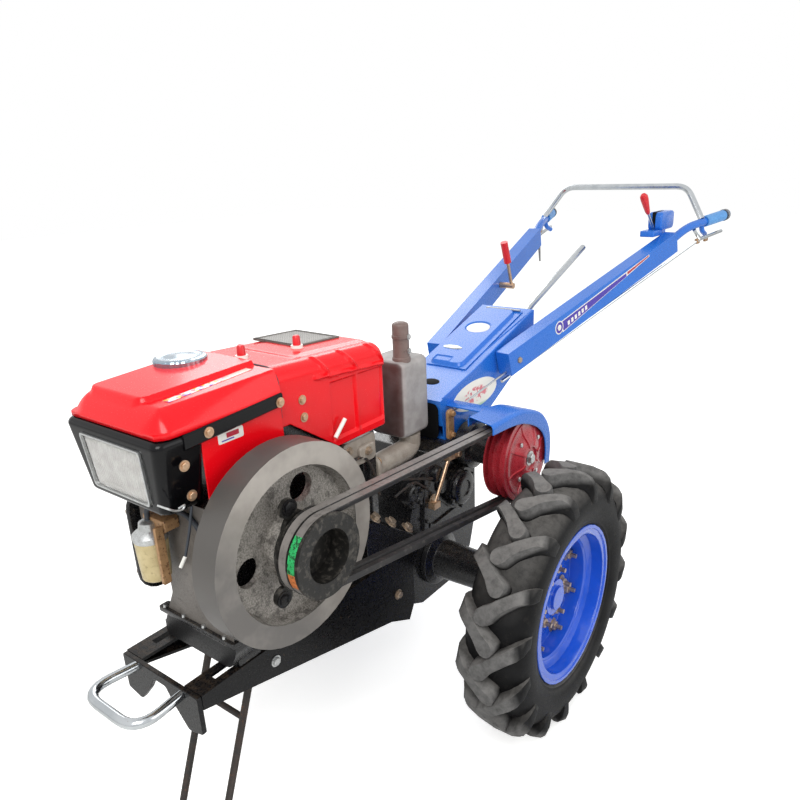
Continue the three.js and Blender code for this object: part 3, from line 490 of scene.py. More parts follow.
def roundedOutline(a0, a1, b0, b1, radius, corner=6):
    # a rectangle in (a, b) with round corners, as one loop of points
    turn = np.linspace(0, math.pi / 2, corner)
    centres = ((a1 - radius, b1 - radius, 0), (a0 + radius, b1 - radius, 1), (a0 + radius, b0 + radius, 2),
               (a1 - radius, b0 + radius, 3))
    return np.concatenate([np.stack([a + radius * np.cos(turn + q * math.pi / 2),
                                     b + radius * np.sin(turn + q * math.pi / 2)], 1) for a, b, q in centres])


def cushionBlock(low, high, corner, edge, axis=0, steps=5):
    # a block with round corners in the plane across axis, and its two ends rolled over by a quarter circle
    low, high = np.asarray(low, float), np.asarray(high, float)
    others = [k for k in range(3) if k != axis]
    turn = np.linspace(0, math.pi / 2, steps)
    inset = np.concatenate([edge * (1 - np.sin(turn)), edge * (1 - np.sin(turn[::-1]))])
    along = np.concatenate([low[axis] + edge * (1 - np.cos(turn)),
                            high[axis] - edge * (1 - np.cos(turn[::-1]))])
    rows = []
    for shrink, place in zip(inset, along):
        loop = roundedOutline(low[others[0]] + shrink, high[others[0]] - shrink, low[others[1]] + shrink,
                              high[others[1]] - shrink, max(corner - shrink, 0.5))
        row = np.zeros((len(loop), 3))
        row[:, axis], row[:, others[0]], row[:, others[1]] = place, loop[:, 0], loop[:, 1]
        rows.append(row)
    return closedShape(rows)


def boltShapes(places, across=13, tall=6, washer=True):
    # hexagon heads with a chamfered top on a washer; places are (point, direction) pairs
    shapes = []
    for point, direction in places:
        z = np.asarray(direction, float) / np.linalg.norm(direction)
        x = np.cross(z, [0.31, 0.53, 0.79])
        x /= np.linalg.norm(x)
        y = np.cross(z, x)
        for sides, profile in ((6, [(0, 0), (0, across * 0.56), (tall * 0.8, across * 0.56),
                                    (tall, across * 0.48), (tall, 0)]),
                               (20, [(-0.2, 0), (-0.2, across * 0.78), (1.6, across * 0.78), (1.6, 0)]
                                if washer else None)):
            if profile is None:
                continue
            turn = np.linspace(0, 2 * math.pi, sides, endpoint=False)
            up, r = np.array(profile)[:, :1], np.array(profile)[:, 1:]
            rings = (np.asarray(point, float) + up[..., None] * z + (r * np.cos(turn))[..., None] * x
                     + (r * np.sin(turn))[..., None] * y)
            shapes.append(gridShape(rings, aroundV=True))
    return shapes


def boltCircle(centre, radius, count, turn=0.0, out=1):
    # places for boltShapes, even round a circle across x
    x, y, z = centre
    return [((x, y + radius * math.cos(a), z + radius * math.sin(a)), (out, 0, 0))
            for a in 2 * math.pi * np.arange(count) / count + turn]


def bolts(places, across, tall, out=(1, 0, 0), washer=True):
    # bolts that all look one way
    return boltShapes([(place, out) for place in places], across, tall, washer)


def prismShape(loop, x0, x1):
    # a closed (y, z) outline carried along x from x0 to x1, capped at both ends
    loop = np.asarray(loop, float)
    return closedShape([np.column_stack([np.full(len(loop), x), loop]) for x in (x0, x1)])


def makePiece(name, shapes, materials, body, replaced=(), slot=None, bevel=0, thick=0, angle=34, recalc=True):
    # joins shapes into one mesh; a shape may carry a third value, its material's place in the list
    verts, faces, index, start = [], [], [], 0
    for shape in shapes:
        verts.append(placed(shape[0]))
        faces += [[k + start for k in face] for face in shape[1]]
        index += [shape[2] if len(shape) > 2 else 0] * len(shape[1])
        start += len(shape[0])
    mesh = bpy.data.meshes.new(name)
    mesh.from_pydata(np.concatenate(verts).tolist(), [], faces)
    mesh.polygons.foreach_set("material_index", index)
    for material in materials if isinstance(materials, list) else [materials]:
        mesh.materials.append(material)
    work = bmesh.new()
    work.from_mesh(mesh)
    bmesh.ops.remove_doubles(work, verts=work.verts, dist=2e-6)
    bmesh.ops.dissolve_degenerate(work, edges=work.edges, dist=1e-6)
    if recalc:
        bmesh.ops.recalc_face_normals(work, faces=work.faces)
    work.to_mesh(mesh)
    work.free()
    return dressPiece(name, mesh, body, replaced, bevel, thick, angle)


def dressPiece(name, mesh, body, replaced, bevel, thick, angle):
    # smooth shading up to the angle, a wall or rounded edges, and the part of the tractor that carries it
    mesh.shade_smooth()
    mesh.set_sharp_from_angle(angle=math.radians(angle))
    piece = bpy.data.objects.new(name, mesh)
    bpy.context.scene.collection.objects.link(piece)
    if thick:
        wall = piece.modifiers.new("wall", "SOLIDIFY")
        wall.thickness, wall.offset = thick * 0.001, -1
    if bevel:
        edge = piece.modifiers.new("edge", "BEVEL")
        edge.width, edge.segments, edge.limit_method = bevel * 0.001, 2, "ANGLE"
        edge.angle_limit, edge.harden_normals = math.radians(angle), True
    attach(piece, body)
    for node in replaced:
        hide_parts(node)
    return piece


def refine(node, material, bevel=1.0, angle=34, zone=None):
    # the node's own shape with welded corners, smooth curves and rounded edges; zone is (axis, from, to,
    # material)
    mesh = nodes[node].data.copy()
    work = bmesh.new()
    work.from_mesh(mesh)
    bmesh.ops.remove_doubles(work, verts=work.verts, dist=3e-6)
    bmesh.ops.dissolve_limit(work, angle_limit=math.radians(0.4), verts=work.verts, edges=work.edges)
    work.to_mesh(mesh)
    work.free()
    mesh.materials.clear()
    mesh.materials.append(material)
    index = np.zeros(len(mesh.polygons), int)
    if zone:
        middles = np.empty(len(mesh.polygons) * 3)
        mesh.polygons.foreach_get("center", middles)
        start = placed([0, 0, 0])[zone[0]]
        along = (middles.reshape(-1, 3)[:, zone[0]] - start) * 1000
        index[(along > zone[1]) & (along < zone[2])] = 1
        mesh.materials.append(zone[3])
    mesh.polygons.foreach_set("material_index", index)
    return dressPiece(node + "_finished", mesh, nodes[node]["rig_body"], [node], bevel, 0, angle)


def makeGroup(group):
    # one fixed piece for each entry: (material, shapes) and, where needed, makePiece's own settings
    for name, (material, shapes, *settings) in group.items():
        makePiece(name, shapes, material, "frame", **(settings[0] if settings else {}))


# castings, plates and bars that keep their own shape; a star stands for left and right
finishes = {
    "rim_*": (rimEnamel, 1.5, "rim_blue"), "axle_housing_*": (castBlack, 1.5, "black_paint"),
    "rail_*": (chassisBlack, 1.6, "black_paint"), "front_plate": (chassisBlack, 1.6, "black_paint"),
    "bumper": (chromePlate, 0, "chrome"), "stand": (rustySteel, 0, "black_paint"),
    "stand_pin": (silverZinc, 0.5, "cast_iron"),
    "engine_block": (castBlack, 2.5, "black_paint", (1, -700, -612, crankGrey)),
    "side_panel_*": (redEnamel, 0.8, "red_paint"), "exhaust_elbow": (elbowIron, 1.0, "grey_paint"),
    "flywheel": (flywheelMetal, 1.6, "cast_iron"), "engine_pulley": (wornPulley, 0.8, "black_paint"),
    "gearbox": (castBlack, 3.0, "black_paint"), "console": (blueEnamel, 1.2, "blue_paint"),
    "handle_*": (blueEnamel, 2.5, "blue_paint"), "cross_tube": (chromePlate, 0, "chrome"),
    "main_shift_lever": (chromePlate, 0.8, "chrome"), "steering_lever_*": (chromePlate, 0, "chrome"),
    "clutch_rod": (zincPlate, 0.8, "cast_iron"), "hitch_bracket": (chassisBlack, 1.5, "black_paint"),
    "grip_*": (gripBlue, 1.0, "grip_rubber"),
    "sub_shift_lever": (zincPlate, 1.0, "red_paint", (2, 888, 980, redPlastic)),
}
for nodeNames, (coat, edgeMm, slotName, *zone) in finishes.items():
    for side in ("left", "right") if "*" in nodeNames else ("",):
        refine(nodeNames.replace("*", side), coat, edgeMm, zone=zone[0] if zone else None)
print("frame: plates, castings and bars finished")

# tyres: round casing with sixteen curved lugs a side
tyreLook = {"lugs": 16, "noseAngle": 21.3, "crown": 265, "noseHalf": 16.5, "armHalf": 11, "draft": 4.0,
            "arcRadius": 290}


def buildTyre(name, centreX, out, body, node):
    # a turned casing with lugs on it: one lug's sections are mirrored for every second lug and turned about
    # the axle
    look = tyreLook
    # casing: an outer profile from bead to bead and an inner one back, turned about the axle
    half = [(0, look["crown"]), (22, 264), (44, 259), (56, 251), (64, 241), (68.5, 228), (69.5, 214),
            (67, 198), (62, 185), (60.5, 183), (59.5, 178), (57, 176), (52, 168), (47, 160), (46, 155.4)]
    inner = [(38, 155.4), (46, 170), (57, 196), (60, 214), (56, 238), (38, 252), (0, 256)]
    profile = [(-x, r) for x, r in half[:0:-1]] + half + inner + [(-x, r) for x, r in inner[-2::-1]]
    profile.append(profile[0])
    casing = turnedShape([(x + centreX, r) for x, r in profile], (0, 0, axleZ * 1000), 128)
    # lug: stations run from the round nose over the shoulder and down the wall; offsets go across the path
    stations = np.linspace(0, 1, 23) ** 1.5
    keys = np.array([0, 0.35, 0.6, 0.75, 0.88, 1.0])
    topX = np.interp(stations, keys, [-19, 20, 46, 61, 70, 71])
    topR = np.interp(stations, keys, [294, 293.2, 288, 276, 255, 233])
    baseX = np.interp(stations, keys, [-19, 20, 43, 56, 64, 68])
    baseR = np.interp(stations, keys, [262, 262, 256, 247, 235, 222])
    lead = np.interp(stations, keys, [-2.6, 5.0, 9.2, 11.4, 12.8, 13.6])
    slopeX, slopeS = np.gradient(topX), np.gradient(np.radians(lead) * look["arcRadius"])
    flatness = np.interp(stations, keys, [1, 1, 1, 0.55, 0.1, 0])
    norm = np.hypot(slopeX, slopeS)
    acrossX, acrossS = -slopeS / norm * flatness, np.sqrt(1 - (slopeS / norm * flatness) ** 2)
    width = np.interp(stations, [0, 0.13, 0.27, 0.6, 0.75, 0.88, 1],
                      [look["noseHalf"]] * 2 + [look["armHalf"] + 1, look["armHalf"], 13.5, 15, 12])
    turned = np.radians(lead - lead[0]) * look["arcRadius"]
    reach = np.clip(np.hypot(topX - topX[0], turned) / look["noseHalf"], 0.0, 1)
    nose = np.sqrt(np.clip(1 - (1 - reach) ** 2, 0.02, 1))
    top, foot = width * nose, width * nose + look["draft"]
    offsets = np.stack([-foot, -top - 0.8, -top + 0.9, top - 0.9, top + 0.8, foot], 1)
    level = np.array([0, 0.93, 1, 1, 0.93, 0])
    x = baseX[:, None] * (1 - level) + topX[:, None] * level + offsets * acrossX[:, None]
    r = baseR[:, None] * (1 - level) + topR[:, None] * level
    angle = np.radians(lead)[:, None] + offsets * acrossS[:, None] / look["arcRadius"]
    step = 2 * math.pi / look["lugs"]
    number = np.arange(look["lugs"] * 2)
    side = np.where(number % 2 == 0, 1, -1)
    turn = math.radians(look["noseAngle"]) + number * step / 2
    allX = x[None] * side[:, None, None] * out + centreX
    allAngle = angle[None] + turn[:, None, None]
    allR = np.broadcast_to(r[None], allX.shape)
    points = np.stack([allX, -allR * np.cos(allAngle), allR * np.sin(allAngle) + axleZ * 1000], 3)
    shapes = [casing] + [closedShape(lug) for lug in points]
    return makePiece(name, shapes, tyreBlack, body, [node], "tyre_rubber", angle=38)


buildTyre("tyre_left_lugged", wheelX * 1000, 1, "wheel_left", "tyre_left")
buildTyre("tyre_right_lugged", -wheelX * 1000, -1, "wheel_right", "tyre_right")
print("wheels: tyres done")

# wheel bolts on rim plate and hub; a ring is (radius, count, distance out from the tyre's middle, turn)
boltLook = {"rings": ((117, 8, -15, math.pi / 8), (60, 6, -5, 0.0)), "across": 21, "tall": 11, "stud": 24}


def wheelBolts(name, side, body):
    # each bolt has a stud that runs out through its head
    look = boltLook
    places = []
    for radius, count, out, turn in look["rings"]:
        places += boltCircle((side * (wheelX * 1000 + out), 0, axleZ * 1000), radius, count, turn, side)
    shapes = boltShapes(places, look["across"], look["tall"])
    for point, _ in places:
        shapes.append(tubeShape(np.linspace(point, np.add(point, (side * look["stud"], 0, 0)), 4), 5, 12))
    return makePiece(name, shapes, dulledZinc, body)


wheelBolts("wheel_bolts_left", 1, "wheel_left")
wheelBolts("wheel_bolts_right", -1, "wheel_right")

# hood: a domed pressing with a raised pad down its middle
hoodLook = {"front": -690, "back": -459, "half": 120, "low": 828.2, "lip": 8, "shoulderFront": 46,
            "shoulderBack": 12, "nose": 30, "rise": 28, "climb": 12, "padFront": -670, "padLeft": 50,
            "padRight": 95, "padRise": 8, "padEdge": 6, "cornerCut": 12}


def hoodHeight(x, y):
    # lip, then round over the shoulder (wide at the front, tight at the back), a gentle climb, a smooth
    # step to the pad
    look = hoodLook
    along = np.clip((y - look["front"]) / (look["back"] - look["front"]), 0, 1)
    shoulder = look["shoulderFront"] + (look["shoulderBack"] - look["shoulderFront"]) * np.sqrt(along)
    a = 1 - np.clip((look["half"] - np.abs(x)) / shoulder, 0, 1)
    b = 1 - np.clip((y - look["front"]) / look["nose"], 0, 1)
    inward = 1 - np.clip((a ** 2.4 + b ** 2.4) ** (1 / 2.4), 0, 1)
    dome = inward * (1.7 - 0.7 * inward)
    right = np.where(x > 0, look["padLeft"] + 12 * along, look["padRight"])
    corner = 22
    p = right - corner - np.abs(x)
    q = y - look["padFront"] - corner
    toPad = corner - np.hypot(np.minimum(p, 0), np.minimum(q, 0)) + np.clip(np.minimum(p, q), 0, None)
    step = np.clip(toPad / look["padEdge"], 0, 1)
    pad = step * step * (3 - 2 * step)
    return (look["low"] + look["lip"] + look["rise"] * dome + look["climb"] * along * inward
            + look["padRise"] * pad * dome)


def buildHood():
    # height over a grid, with the outermost rows let down as the lip; the front corners are cut back
    look = hoodLook
    x = np.concatenate([[-1, -1], np.linspace(-1, 1, 121), [1, 1]])
    y = np.concatenate([[0, 0], np.linspace(0, 1, 121), [1, 1]])
    across, down = np.meshgrid(x, y, indexing="ij")
    yy = look["front"] + down * (look["back"] - look["front"])
    nearFront = np.clip(1 - (yy - look["front"]) / 22, 0, 1)
    narrowed = look["half"] - look["cornerCut"] * nearFront ** 2
    xx = across * narrowed
    zz = hoodHeight(across * look["half"], yy)
    edge = np.zeros_like(zz, bool)
    edge[0], edge[-1], edge[:, 0], edge[:, -1] = True, True, True, True
    zz = np.where(edge, look["low"], zz)
    xx[0], xx[-1] = xx[1], xx[-2]
    return makePiece("hood_pressing", [gridShape(np.stack([xx, yy, zz], 2))], redEnamel, "frame", ["hood"],
                     "red_paint", thick=2.0, angle=50)


buildHood()

# filler neck and a chrome cap with a fluted edge
capLook = {"flutes": 22, "fluteMm": 1.1}


def buildCap():
    # a profile turned about z, whose radius dips between flutes; the neck is a plain ring under it
    look = capLook
    low, high = boxMm("tank_cap")
    base = low[2]
    x, y = (low[0] + high[0]) / 2, (low[1] + high[1]) / 2
    turn = np.linspace(0, 2 * math.pi, 220, endpoint=False)
    profile = np.array([(0, 0), (0, 43), (1.5, 44.8), (9, 44.8), (11.5, 43), (13, 38), (12.2, 34),
                        (12.2, 22), (13.6, 16), (14.6, 8), (14.8, 0)])
    weight = np.array([0, 1, 1, 1, 1, 0.3, 0, 0, 0, 0, 0])[:, None]
    r = profile[:, 1:] + weight * look["fluteMm"] * (np.abs(np.sin(turn * look["flutes"] / 2)) - 1)
    rings = np.stack([x + r * np.cos(turn), y + r * np.sin(turn), np.repeat(base + profile[:, :1], 220, 1)],
                     2)
    makePiece("tank_cap_fluted", [gridShape(rings, aroundV=True)], capChromeDarkReflection, "frame", ["tank_cap"],
              "chrome", angle=28)
    neck = turnedShape([(hoodLook["low"] + 20, 40), (base - 0.4, 40), (base - 0.4, 0),
                        (hoodLook["low"] + 20, 0)], (x, y, 0), 64, "z")
    makePiece("filler_neck", [neck], chromePlate, "frame")


buildCap()


def hoodStrip():
    # a vinyl strip laid on the hood beside the pad, following its height
    along = np.linspace(-640, -476, 60)
    across = np.linspace(0, 1, 8)
    y, t = np.meshgrid(along, across, indexing="ij")
    x = 66 + 15 * t - (y + 640) * 0.03
    z = hoodHeight(x, y) + 0.35
    makePiece("hood_strip", [gridShape(np.stack([x, y, z], 2))], stickerStrip(), "frame", thick=0.2,
              recalc=False)


hoodStrip()
print("engine: hood done")

# rear cover: one drawn shell, round over its top edges, with ribs pressed into each side
coverLook = {"front": -457.8, "back": -174.2, "half": 111, "low": 690, "top": 876, "edge": 26,
             "backEdge": 22, "ribMm": 8, "beadLow": 824, "beadHigh": 840,
             "ribs": ((-358, -332), (-289, -260), (-213, -181)), "fall": 16}


def buildCover():
    # one section carried along y, pushed out by the ribs and bead and in by the panels; it shrinks to close
    # the back
    look = coverLook
    corner = np.linspace(0, math.pi / 2, 12)
    edge, half, low, top = look["edge"], look["half"], look["low"], look["top"]
    # section: up the side, a quarter circle over the edge, and flat to the middle
    side = np.stack([np.full(64, half), np.linspace(low, top - edge, 64)], 1)
    curve = np.stack([half - edge + edge * np.cos(corner), top - edge + edge * np.sin(corner)], 1)
    flat = np.stack([np.linspace(half - edge, 0, 16)[1:], np.full(15, top)], 1)
    right = np.concatenate([side, curve[1:], flat])
    section = np.concatenate([right, (right * [-1, 1])[::-1][1:]])
    straight = np.linspace(look["front"], look["back"] - look["backEdge"], 130)
    turn = np.linspace(0, math.pi / 2, 10)[1:]
    y = np.concatenate([straight, look["back"] - look["backEdge"] * (1 - np.sin(turn)), [look["back"]] * 8])
    inset = np.concatenate([np.zeros(130), look["backEdge"] * (1 - np.cos(turn)), [look["backEdge"]] * 8])
    shrink = np.concatenate([np.ones(139), np.linspace(1, 0, 9)[1:]])
    xs = section[None, :, 0] * np.ones_like(y)[:, None]
    zs = section[None, :, 1] * np.ones_like(y)[:, None]
    isSide = np.clip((np.abs(xs) - (half - edge * 0.75)) / (edge * 0.5), 0, 1)
    # shoulder ribs lean back as they come down to a raised bead; under it three shallow panels sit in a frame
    ys = y[:, None] * np.ones_like(xs)
    bump = lambda value, width: np.clip(1.6 - np.abs(value) / width, 0, 1)
    down = np.clip((top - zs) / (top - 834), 0, 1)
    ribs = sum(bump(ys - (a + (b - a) * down), 3.2) for a, b in look["ribs"]) * np.clip((zs - 832) / 4, 0, 1)
    over = np.clip((np.abs(xs) - (half - edge * 1.0)) / (edge * 0.3), 0, 1)
    framed = np.clip((ys + 346) / 5, 0, 1) * np.clip((-170 - ys) / 5, 0, 1)
    beadRun = np.clip((ys + 376) / 5, 0, 1) * np.clip((-170 - ys) / 5, 0, 1)
    bead = bump(zs - (look["beadHigh"] - (ys + 340) * 0.06), 3.0) * beadRun * (np.abs(xs) > half - 3)
    lift = look["ribMm"] * np.clip(ribs * over + bead, 0, 1)
    gaps = np.clip(1 - sum(bump(ys - place, 4.0) for place in (-338, -263, -182)), 0, 1)
    lowPanel = -5.5 * np.clip((look["beadLow"] - zs) / 4, 0, 1) * np.clip((zs - 708) / 4, 0, 1)
    lowPanel = lowPanel * framed * gaps * isSide
    lowPanel = np.where((ys < -338) & (ys > -346), 0, lowPanel)
    topPad = 2.4 * np.clip((half - 40 - np.abs(xs)) / 6, 0, 1) * np.clip((ys + 385) / 6, 0, 1)
    topPad = topPad * (zs > top - 1)
    scaleX = (half - inset) / half
    tilt = np.clip((top - zs) / edge, 0, 1)
    rising = lift * (1 - tilt) * 0.4
    xs = (xs + np.sign(xs) * (lift * np.where(tilt > 0.02, 0.3 + 0.7 * tilt, 0) * 0.66
                              + lowPanel)) * scaleX[:, None] * shrink[:, None]
    zs = low + (zs + topPad + rising - low) * ((top - inset - low) / (top - low))[:, None]
    zs = 780 + (zs - 780) * shrink[:, None]
    backShare = np.clip((ys - look["front"]) / (look["back"] - look["front"]), 0, 1)
    fall = look["fall"] * backShare * np.clip((zs - 780) / 90, 0, 1)
    # the lower edge rises at the front, clear of the flywheel
    rise = 78 * np.clip((-325 - ys) / 112, 0, 1)
    zs = np.maximum(zs, np.minimum(low + rise + 6, 780)) - fall
    makePiece("rear_cover_pressing", [gridShape(np.stack([xs, ys, zs], 2))], redEnamel, "frame",
              ["rear_cover"], "red_paint", thick=2.2, angle=42)


buildCover()


def buildShadowGap():
    # painted shade: a dark tube in the gap behind the hood stands for the shadow under the hood's back edge;
    # it follows the cover's section, half a tube proud
    look = coverLook
    corner = np.linspace(0, math.pi / 2, 10)
    side = look["half"] + 0.6
    up = np.stack([side - look["edge"] + look["edge"] * np.cos(corner),
                   look["top"] - look["edge"] + look["edge"] * np.sin(corner)], 1)
    right = np.concatenate([[(side, 792), (side, 820)], up, [(40, look["top"] + 0.4)]])
    line = np.concatenate([right, (right * [-1, 1])[::-1]])
    path = np.stack([line[:, 0], np.full(len(line), look["front"] + 1.6), line[:, 1]], 1)
    makePiece("cover_shadow_gap_line", [tubeShape(path, 1.9, 10)], gripRubber, "frame")


buildShadowGap()
grilleLook = {"x0": -96, "x1": 12, "y0": -312, "y1": -210, "frame": 7}


def buildGrille():
    # a thin sheet of wire and four strips round it, all following the fall of the cover's top
    look = grilleLook
    slope = coverLook["fall"] / (coverLook["back"] - coverLook["front"])

    def sheet(x0, x1, y0, y1, index, deep):
        points, faces = cushionBlock((x0, y0, 0), (x1, y1, deep), 5, 0.8, axis=2)
        points[:, 2] += 877.2 - slope * (points[:, 1] - coverLook["front"])
        return points, faces, index

    x0, x1, y0, y1 = (look[k] for k in ("x0", "x1", "y0", "y1"))
    left, right, fore, aft = (look["frame"] * k + v for k, v in ((-1, x0), (1, x1), (-1, y0), (1, y1)))
    strips = ((left, right, fore, y0), (left, right, y1, aft), (left, x0, fore, aft), (x1, right, fore, aft))
    shapes = [sheet(x0, x1, y0, y1, 0, 3.4)] + [sheet(*strip, 1, 4.4) for strip in strips]
    makePiece("radiator_grille", shapes, [wireMesh(), crankGrey], "frame")


buildGrille()


def pegShapes(x, y, base):
    # a white collar and a red plastic peg that tapers to its rounded top
    collar = turnedShape([(base, 0), (base, 12), (base + 7, 11), (base + 7, 0)], (x, y, 0), 28, "z")
    peg = turnedShape([(base + 7, 0), (base + 7, 7.5), (base + 22, 7), (base + 25, 5), (base + 26, 0)],
                      (x, y, 0), 28, "z")
    return [(*collar, 1), (*peg, 0)]


makePiece("cover_pegs", pegShapes(4, -436, 874) + pegShapes(22, -322, 869), [redPlastic, whiteVinyl], "frame")
print("engine: cover done")

# front panel: a U of black sheet round the lamp, and the straps that run back from it
panelLook = {"low": 702, "high": 827.6, "halfLow": 100, "halfHigh": 123.4, "frontLow": -687,
             "frontHigh": -698.6, "back": -622, "corner": 15, "topRound": 13, "footRound": 9}


def buildPanel():
    # a U of sheet round the lamp: its half width and front grow upwards, and its top and foot roll inwards
    look = panelLook
    v = np.concatenate([np.linspace(0, 0.1, 8), np.linspace(0.12, 0.88, 40), np.linspace(0.9, 1, 10)])
    z = look["low"] + v * (look["high"] - look["low"])
    half = look["halfLow"] + v * (look["halfHigh"] - look["halfLow"])
    front = look["frontLow"] + v * (look["frontHigh"] - look["frontLow"])
    up = np.clip(1 - (look["high"] - z) / look["topRound"], 0, 1)
    foot = np.clip(1 - (z - look["low"]) / look["footRound"], 0, 1)
    inset = look["topRound"] * (1 - np.sqrt(1 - up ** 2)) + look["footRound"] * (1 - np.sqrt(1 - foot ** 2))
    r = look["corner"]
    a = np.linspace(0, math.pi / 2, 9)
    side = np.linspace(0, 1, 14)[:-1]
    middle = np.linspace(-1, 1, 100)[1:-1]
    zero, one = np.zeros_like, np.ones_like
    # every column is (share of half width, share of depth, corner offsets across and along)
    columns = [np.stack([-one(side), 1 - side, zero(side), zero(side)], 1),
               np.stack([-one(a), zero(a), r * (1 - np.cos(a)), r * (1 - np.sin(a))], 1),
               np.stack([middle, zero(middle), zero(middle), zero(middle)], 1),
               np.stack([one(a), zero(a), -r * (1 - np.sin(a)), r * (1 - np.cos(a))], 1),
               np.stack([one(side), side + side[1], zero(side), zero(side)], 1)]
    c = np.concatenate(columns)
    w = (half - inset)[None]
    flatHalf = w - r
    x = np.where(np.abs(c[:, :1]) < 1, c[:, :1] * flatHalf, c[:, :1] * w + c[:, 2:3])
    f = (front + inset)[None]
    y = f + c[:, 3:4] + c[:, 1:2] * (look["back"] - f - r) + np.where(c[:, 1:2] > 0, r, 0)
    points, faces = gridShape(np.stack([x, y, z[None] * np.ones_like(x)], 2))
    mid = points[np.array(faces)].mean(1)
    lampHalf = 75 + 6 * (mid[:, 2] - 716) / 94
    inLamp = (np.abs(mid[:, 0]) < lampHalf - 1.5) & (mid[:, 1] < -670)
    inLamp &= (mid[:, 2] > 717.5) & (mid[:, 2] < 808.5)
    kept = [face for face, gone in zip(faces, inLamp) if not gone]
    makePiece("front_panel_pressing", [(points, kept)], blackEnamel, "frame", ["front_panel"],
              "black_paint", thick=2.4, angle=60)
    # the side bands: thin straps that widen a little and climb to the back
    t = np.linspace(0, 1, 24)[:, None]
    low = 803.7 + 12 * t
    high = 827.4 + 11 * t
    across = np.array([0, 0.6, 1, 1, 0.6, 0])[None]
    level = np.array([0, 0, 0.1, 0.9, 1, 1])[None]
    for name, side in (("band_left", 1), ("band_right", -1)):
        bx = side * (117 + 6 * across) * np.ones_like(t)
        bz = low + (high - low) * level
        by = (-652 + 193 * t) * np.ones_like(bx)
        makePiece(name, [closedShape(np.stack([bx, by, bz], 2))], blackEnamel, "frame")


buildPanel()


# lamp: a fluted lens in a thin bright bezel, over a pressed reflector
lampLook = {"flutes": 26, "fluteMm": 0.9, "bulge": 5}


def buildLamp():
    # bulge falls with the fourth power of the distance from the middle; flutes are a cosine across it
    low, high = boxMm("headlamp")
    u, v = np.meshgrid(np.linspace(-1, 1, 261), np.linspace(0, 1, 41), indexing="ij")
    z = low[2] + 2 + v * (high[2] - low[2] - 4)
    half = 73 + 6 * v - 2
    # rounded rectangle with slanting sides, bulging forward, crossed by vertical flutes
    x = u * half
    front = -691 - 10 * (z - 702) / 126
    crown = lampLook["bulge"] * (1 - u ** 4) * (1 - (2 * v - 1) ** 4)
    y = front + 5 - crown + lampLook["fluteMm"] * np.cos(u * math.pi * lampLook["flutes"]) * (1 - u ** 8)
    lens = gridShape(np.stack([x, y, z], 2))
    makePiece("lamp_lens", [lens], lensGlass, "frame", ["headlamp"], "lamp_glass", thick=2.5, recalc=False,
              angle=60)
    bowl = np.stack([u * (half - 3), front + 14 + 26 * (1 - u ** 2) * (1 - (2 * v - 1) ** 2), z], 2)
    makePiece("lamp_reflector", [gridShape(bowl)], silverZinc, "frame", thick=1.0, recalc=False, angle=60)
    corners = roundedOutline(-1, 1, 0, 1, 0.08)
    shrink = np.array([0, 3.2, 3.2, 0])
    fore = np.array([0.5, 0.5, 5, 5])
    cx = corners[None, :, 0] * (73.6 + 6 * corners[None, :, 1] - shrink[:, None])
    cz = low[2] + 1 + shrink[:, None] + corners[None, :, 1] * (high[2] - low[2] - 2 - 2 * shrink[:, None])
    cy = -691 - 10 * (cz - 702) / 126 + fore[:, None] - 1
    makePiece("lamp_bezel", [gridShape(np.stack([cx, cy, cz], 2), aroundU=True, aroundV=True)], silverZinc,
              "frame")


buildLamp()
print("engine: lamp done")

# muffler: a drawn box round over its upright corners, and a plain stack with a domed lid
mufflerLook = {"low": (-18, -92, 620), "high": (84, 6, 792), "corner": 18, "edge": 13,
               "stack": (62, -64, 0), "radius": 17.6, "collar": 19.5, "bead": (838, 846), "beadMm": 1.6,
               "lidMm": 8, "clamps": (842, 812)}


def buildMuffler():
    # the stack is a profile of (height, radius) turned about an upright line, ending in a quarter ellipse
    look = mufflerLook
    foot, r, out, lid = look["high"][2], look["radius"], look["collar"], look["lidMm"]
    beadLow, beadHigh = look["bead"]
    top = boxMm("muffler")[1][2] - lid
    profile = [(foot - 4, 0), (foot - 4, out), (foot + 5, out), (foot + 7, r), (beadLow, r),
               (beadLow + 1, r + look["beadMm"]), (beadHigh - 1, r + look["beadMm"]), (beadHigh, r)]
    profile += [(top + lid * math.sin(a), r * math.cos(a)) for a in np.linspace(0, math.pi / 2, 7)]
    makePiece("muffler_box", [cushionBlock(look["low"], look["high"], look["corner"], look["edge"], axis=2)],
              mufflerGrey, "frame", ["muffler"], "grey_paint")
    makePiece("muffler_stack", [turnedShape(profile, look["stack"], 48, "z")], stackBrown, "frame")
    makePiece("stack_clamp_bolts", bolts([(80, -60, z) for z in look["clamps"]], 8, 4), silverZinc, "frame")
    # the bolted flange at the engine's end of the exhaust casting
    face = boxMm("exhaust_elbow")[0][1]
    flange = cushionBlock((26, face + 0.2, 552), (94, face + 10, 616), 14, 1.6, axis=1)
    makePiece("elbow_flanges", [flange], elbowIron, "frame")
    makePiece("elbow_bolts", bolts([(36, face + 10, 562), (84, face + 10, 606)], 12, 7, (0, 1, 0)),
              zincPlate, "frame")


buildMuffler()
print("engine: exhaust done")

# clutch guard: a channel of sheet carried over the drum
guardLook = {"path": ((-14, 668), (60, 668), (113, 663), (160, 648), (202.6, 628.5), (232.6, 596.8),
                      (247.3, 561.4), (249.3, 524.8), (245, 490)), "x0": 186.2, "x1": 265.2, "round": 9,
             "slant": 26, "innerLip": 24, "lips": ((0, 21), (0.38, 33), (0.6, 38), (1, 30))}


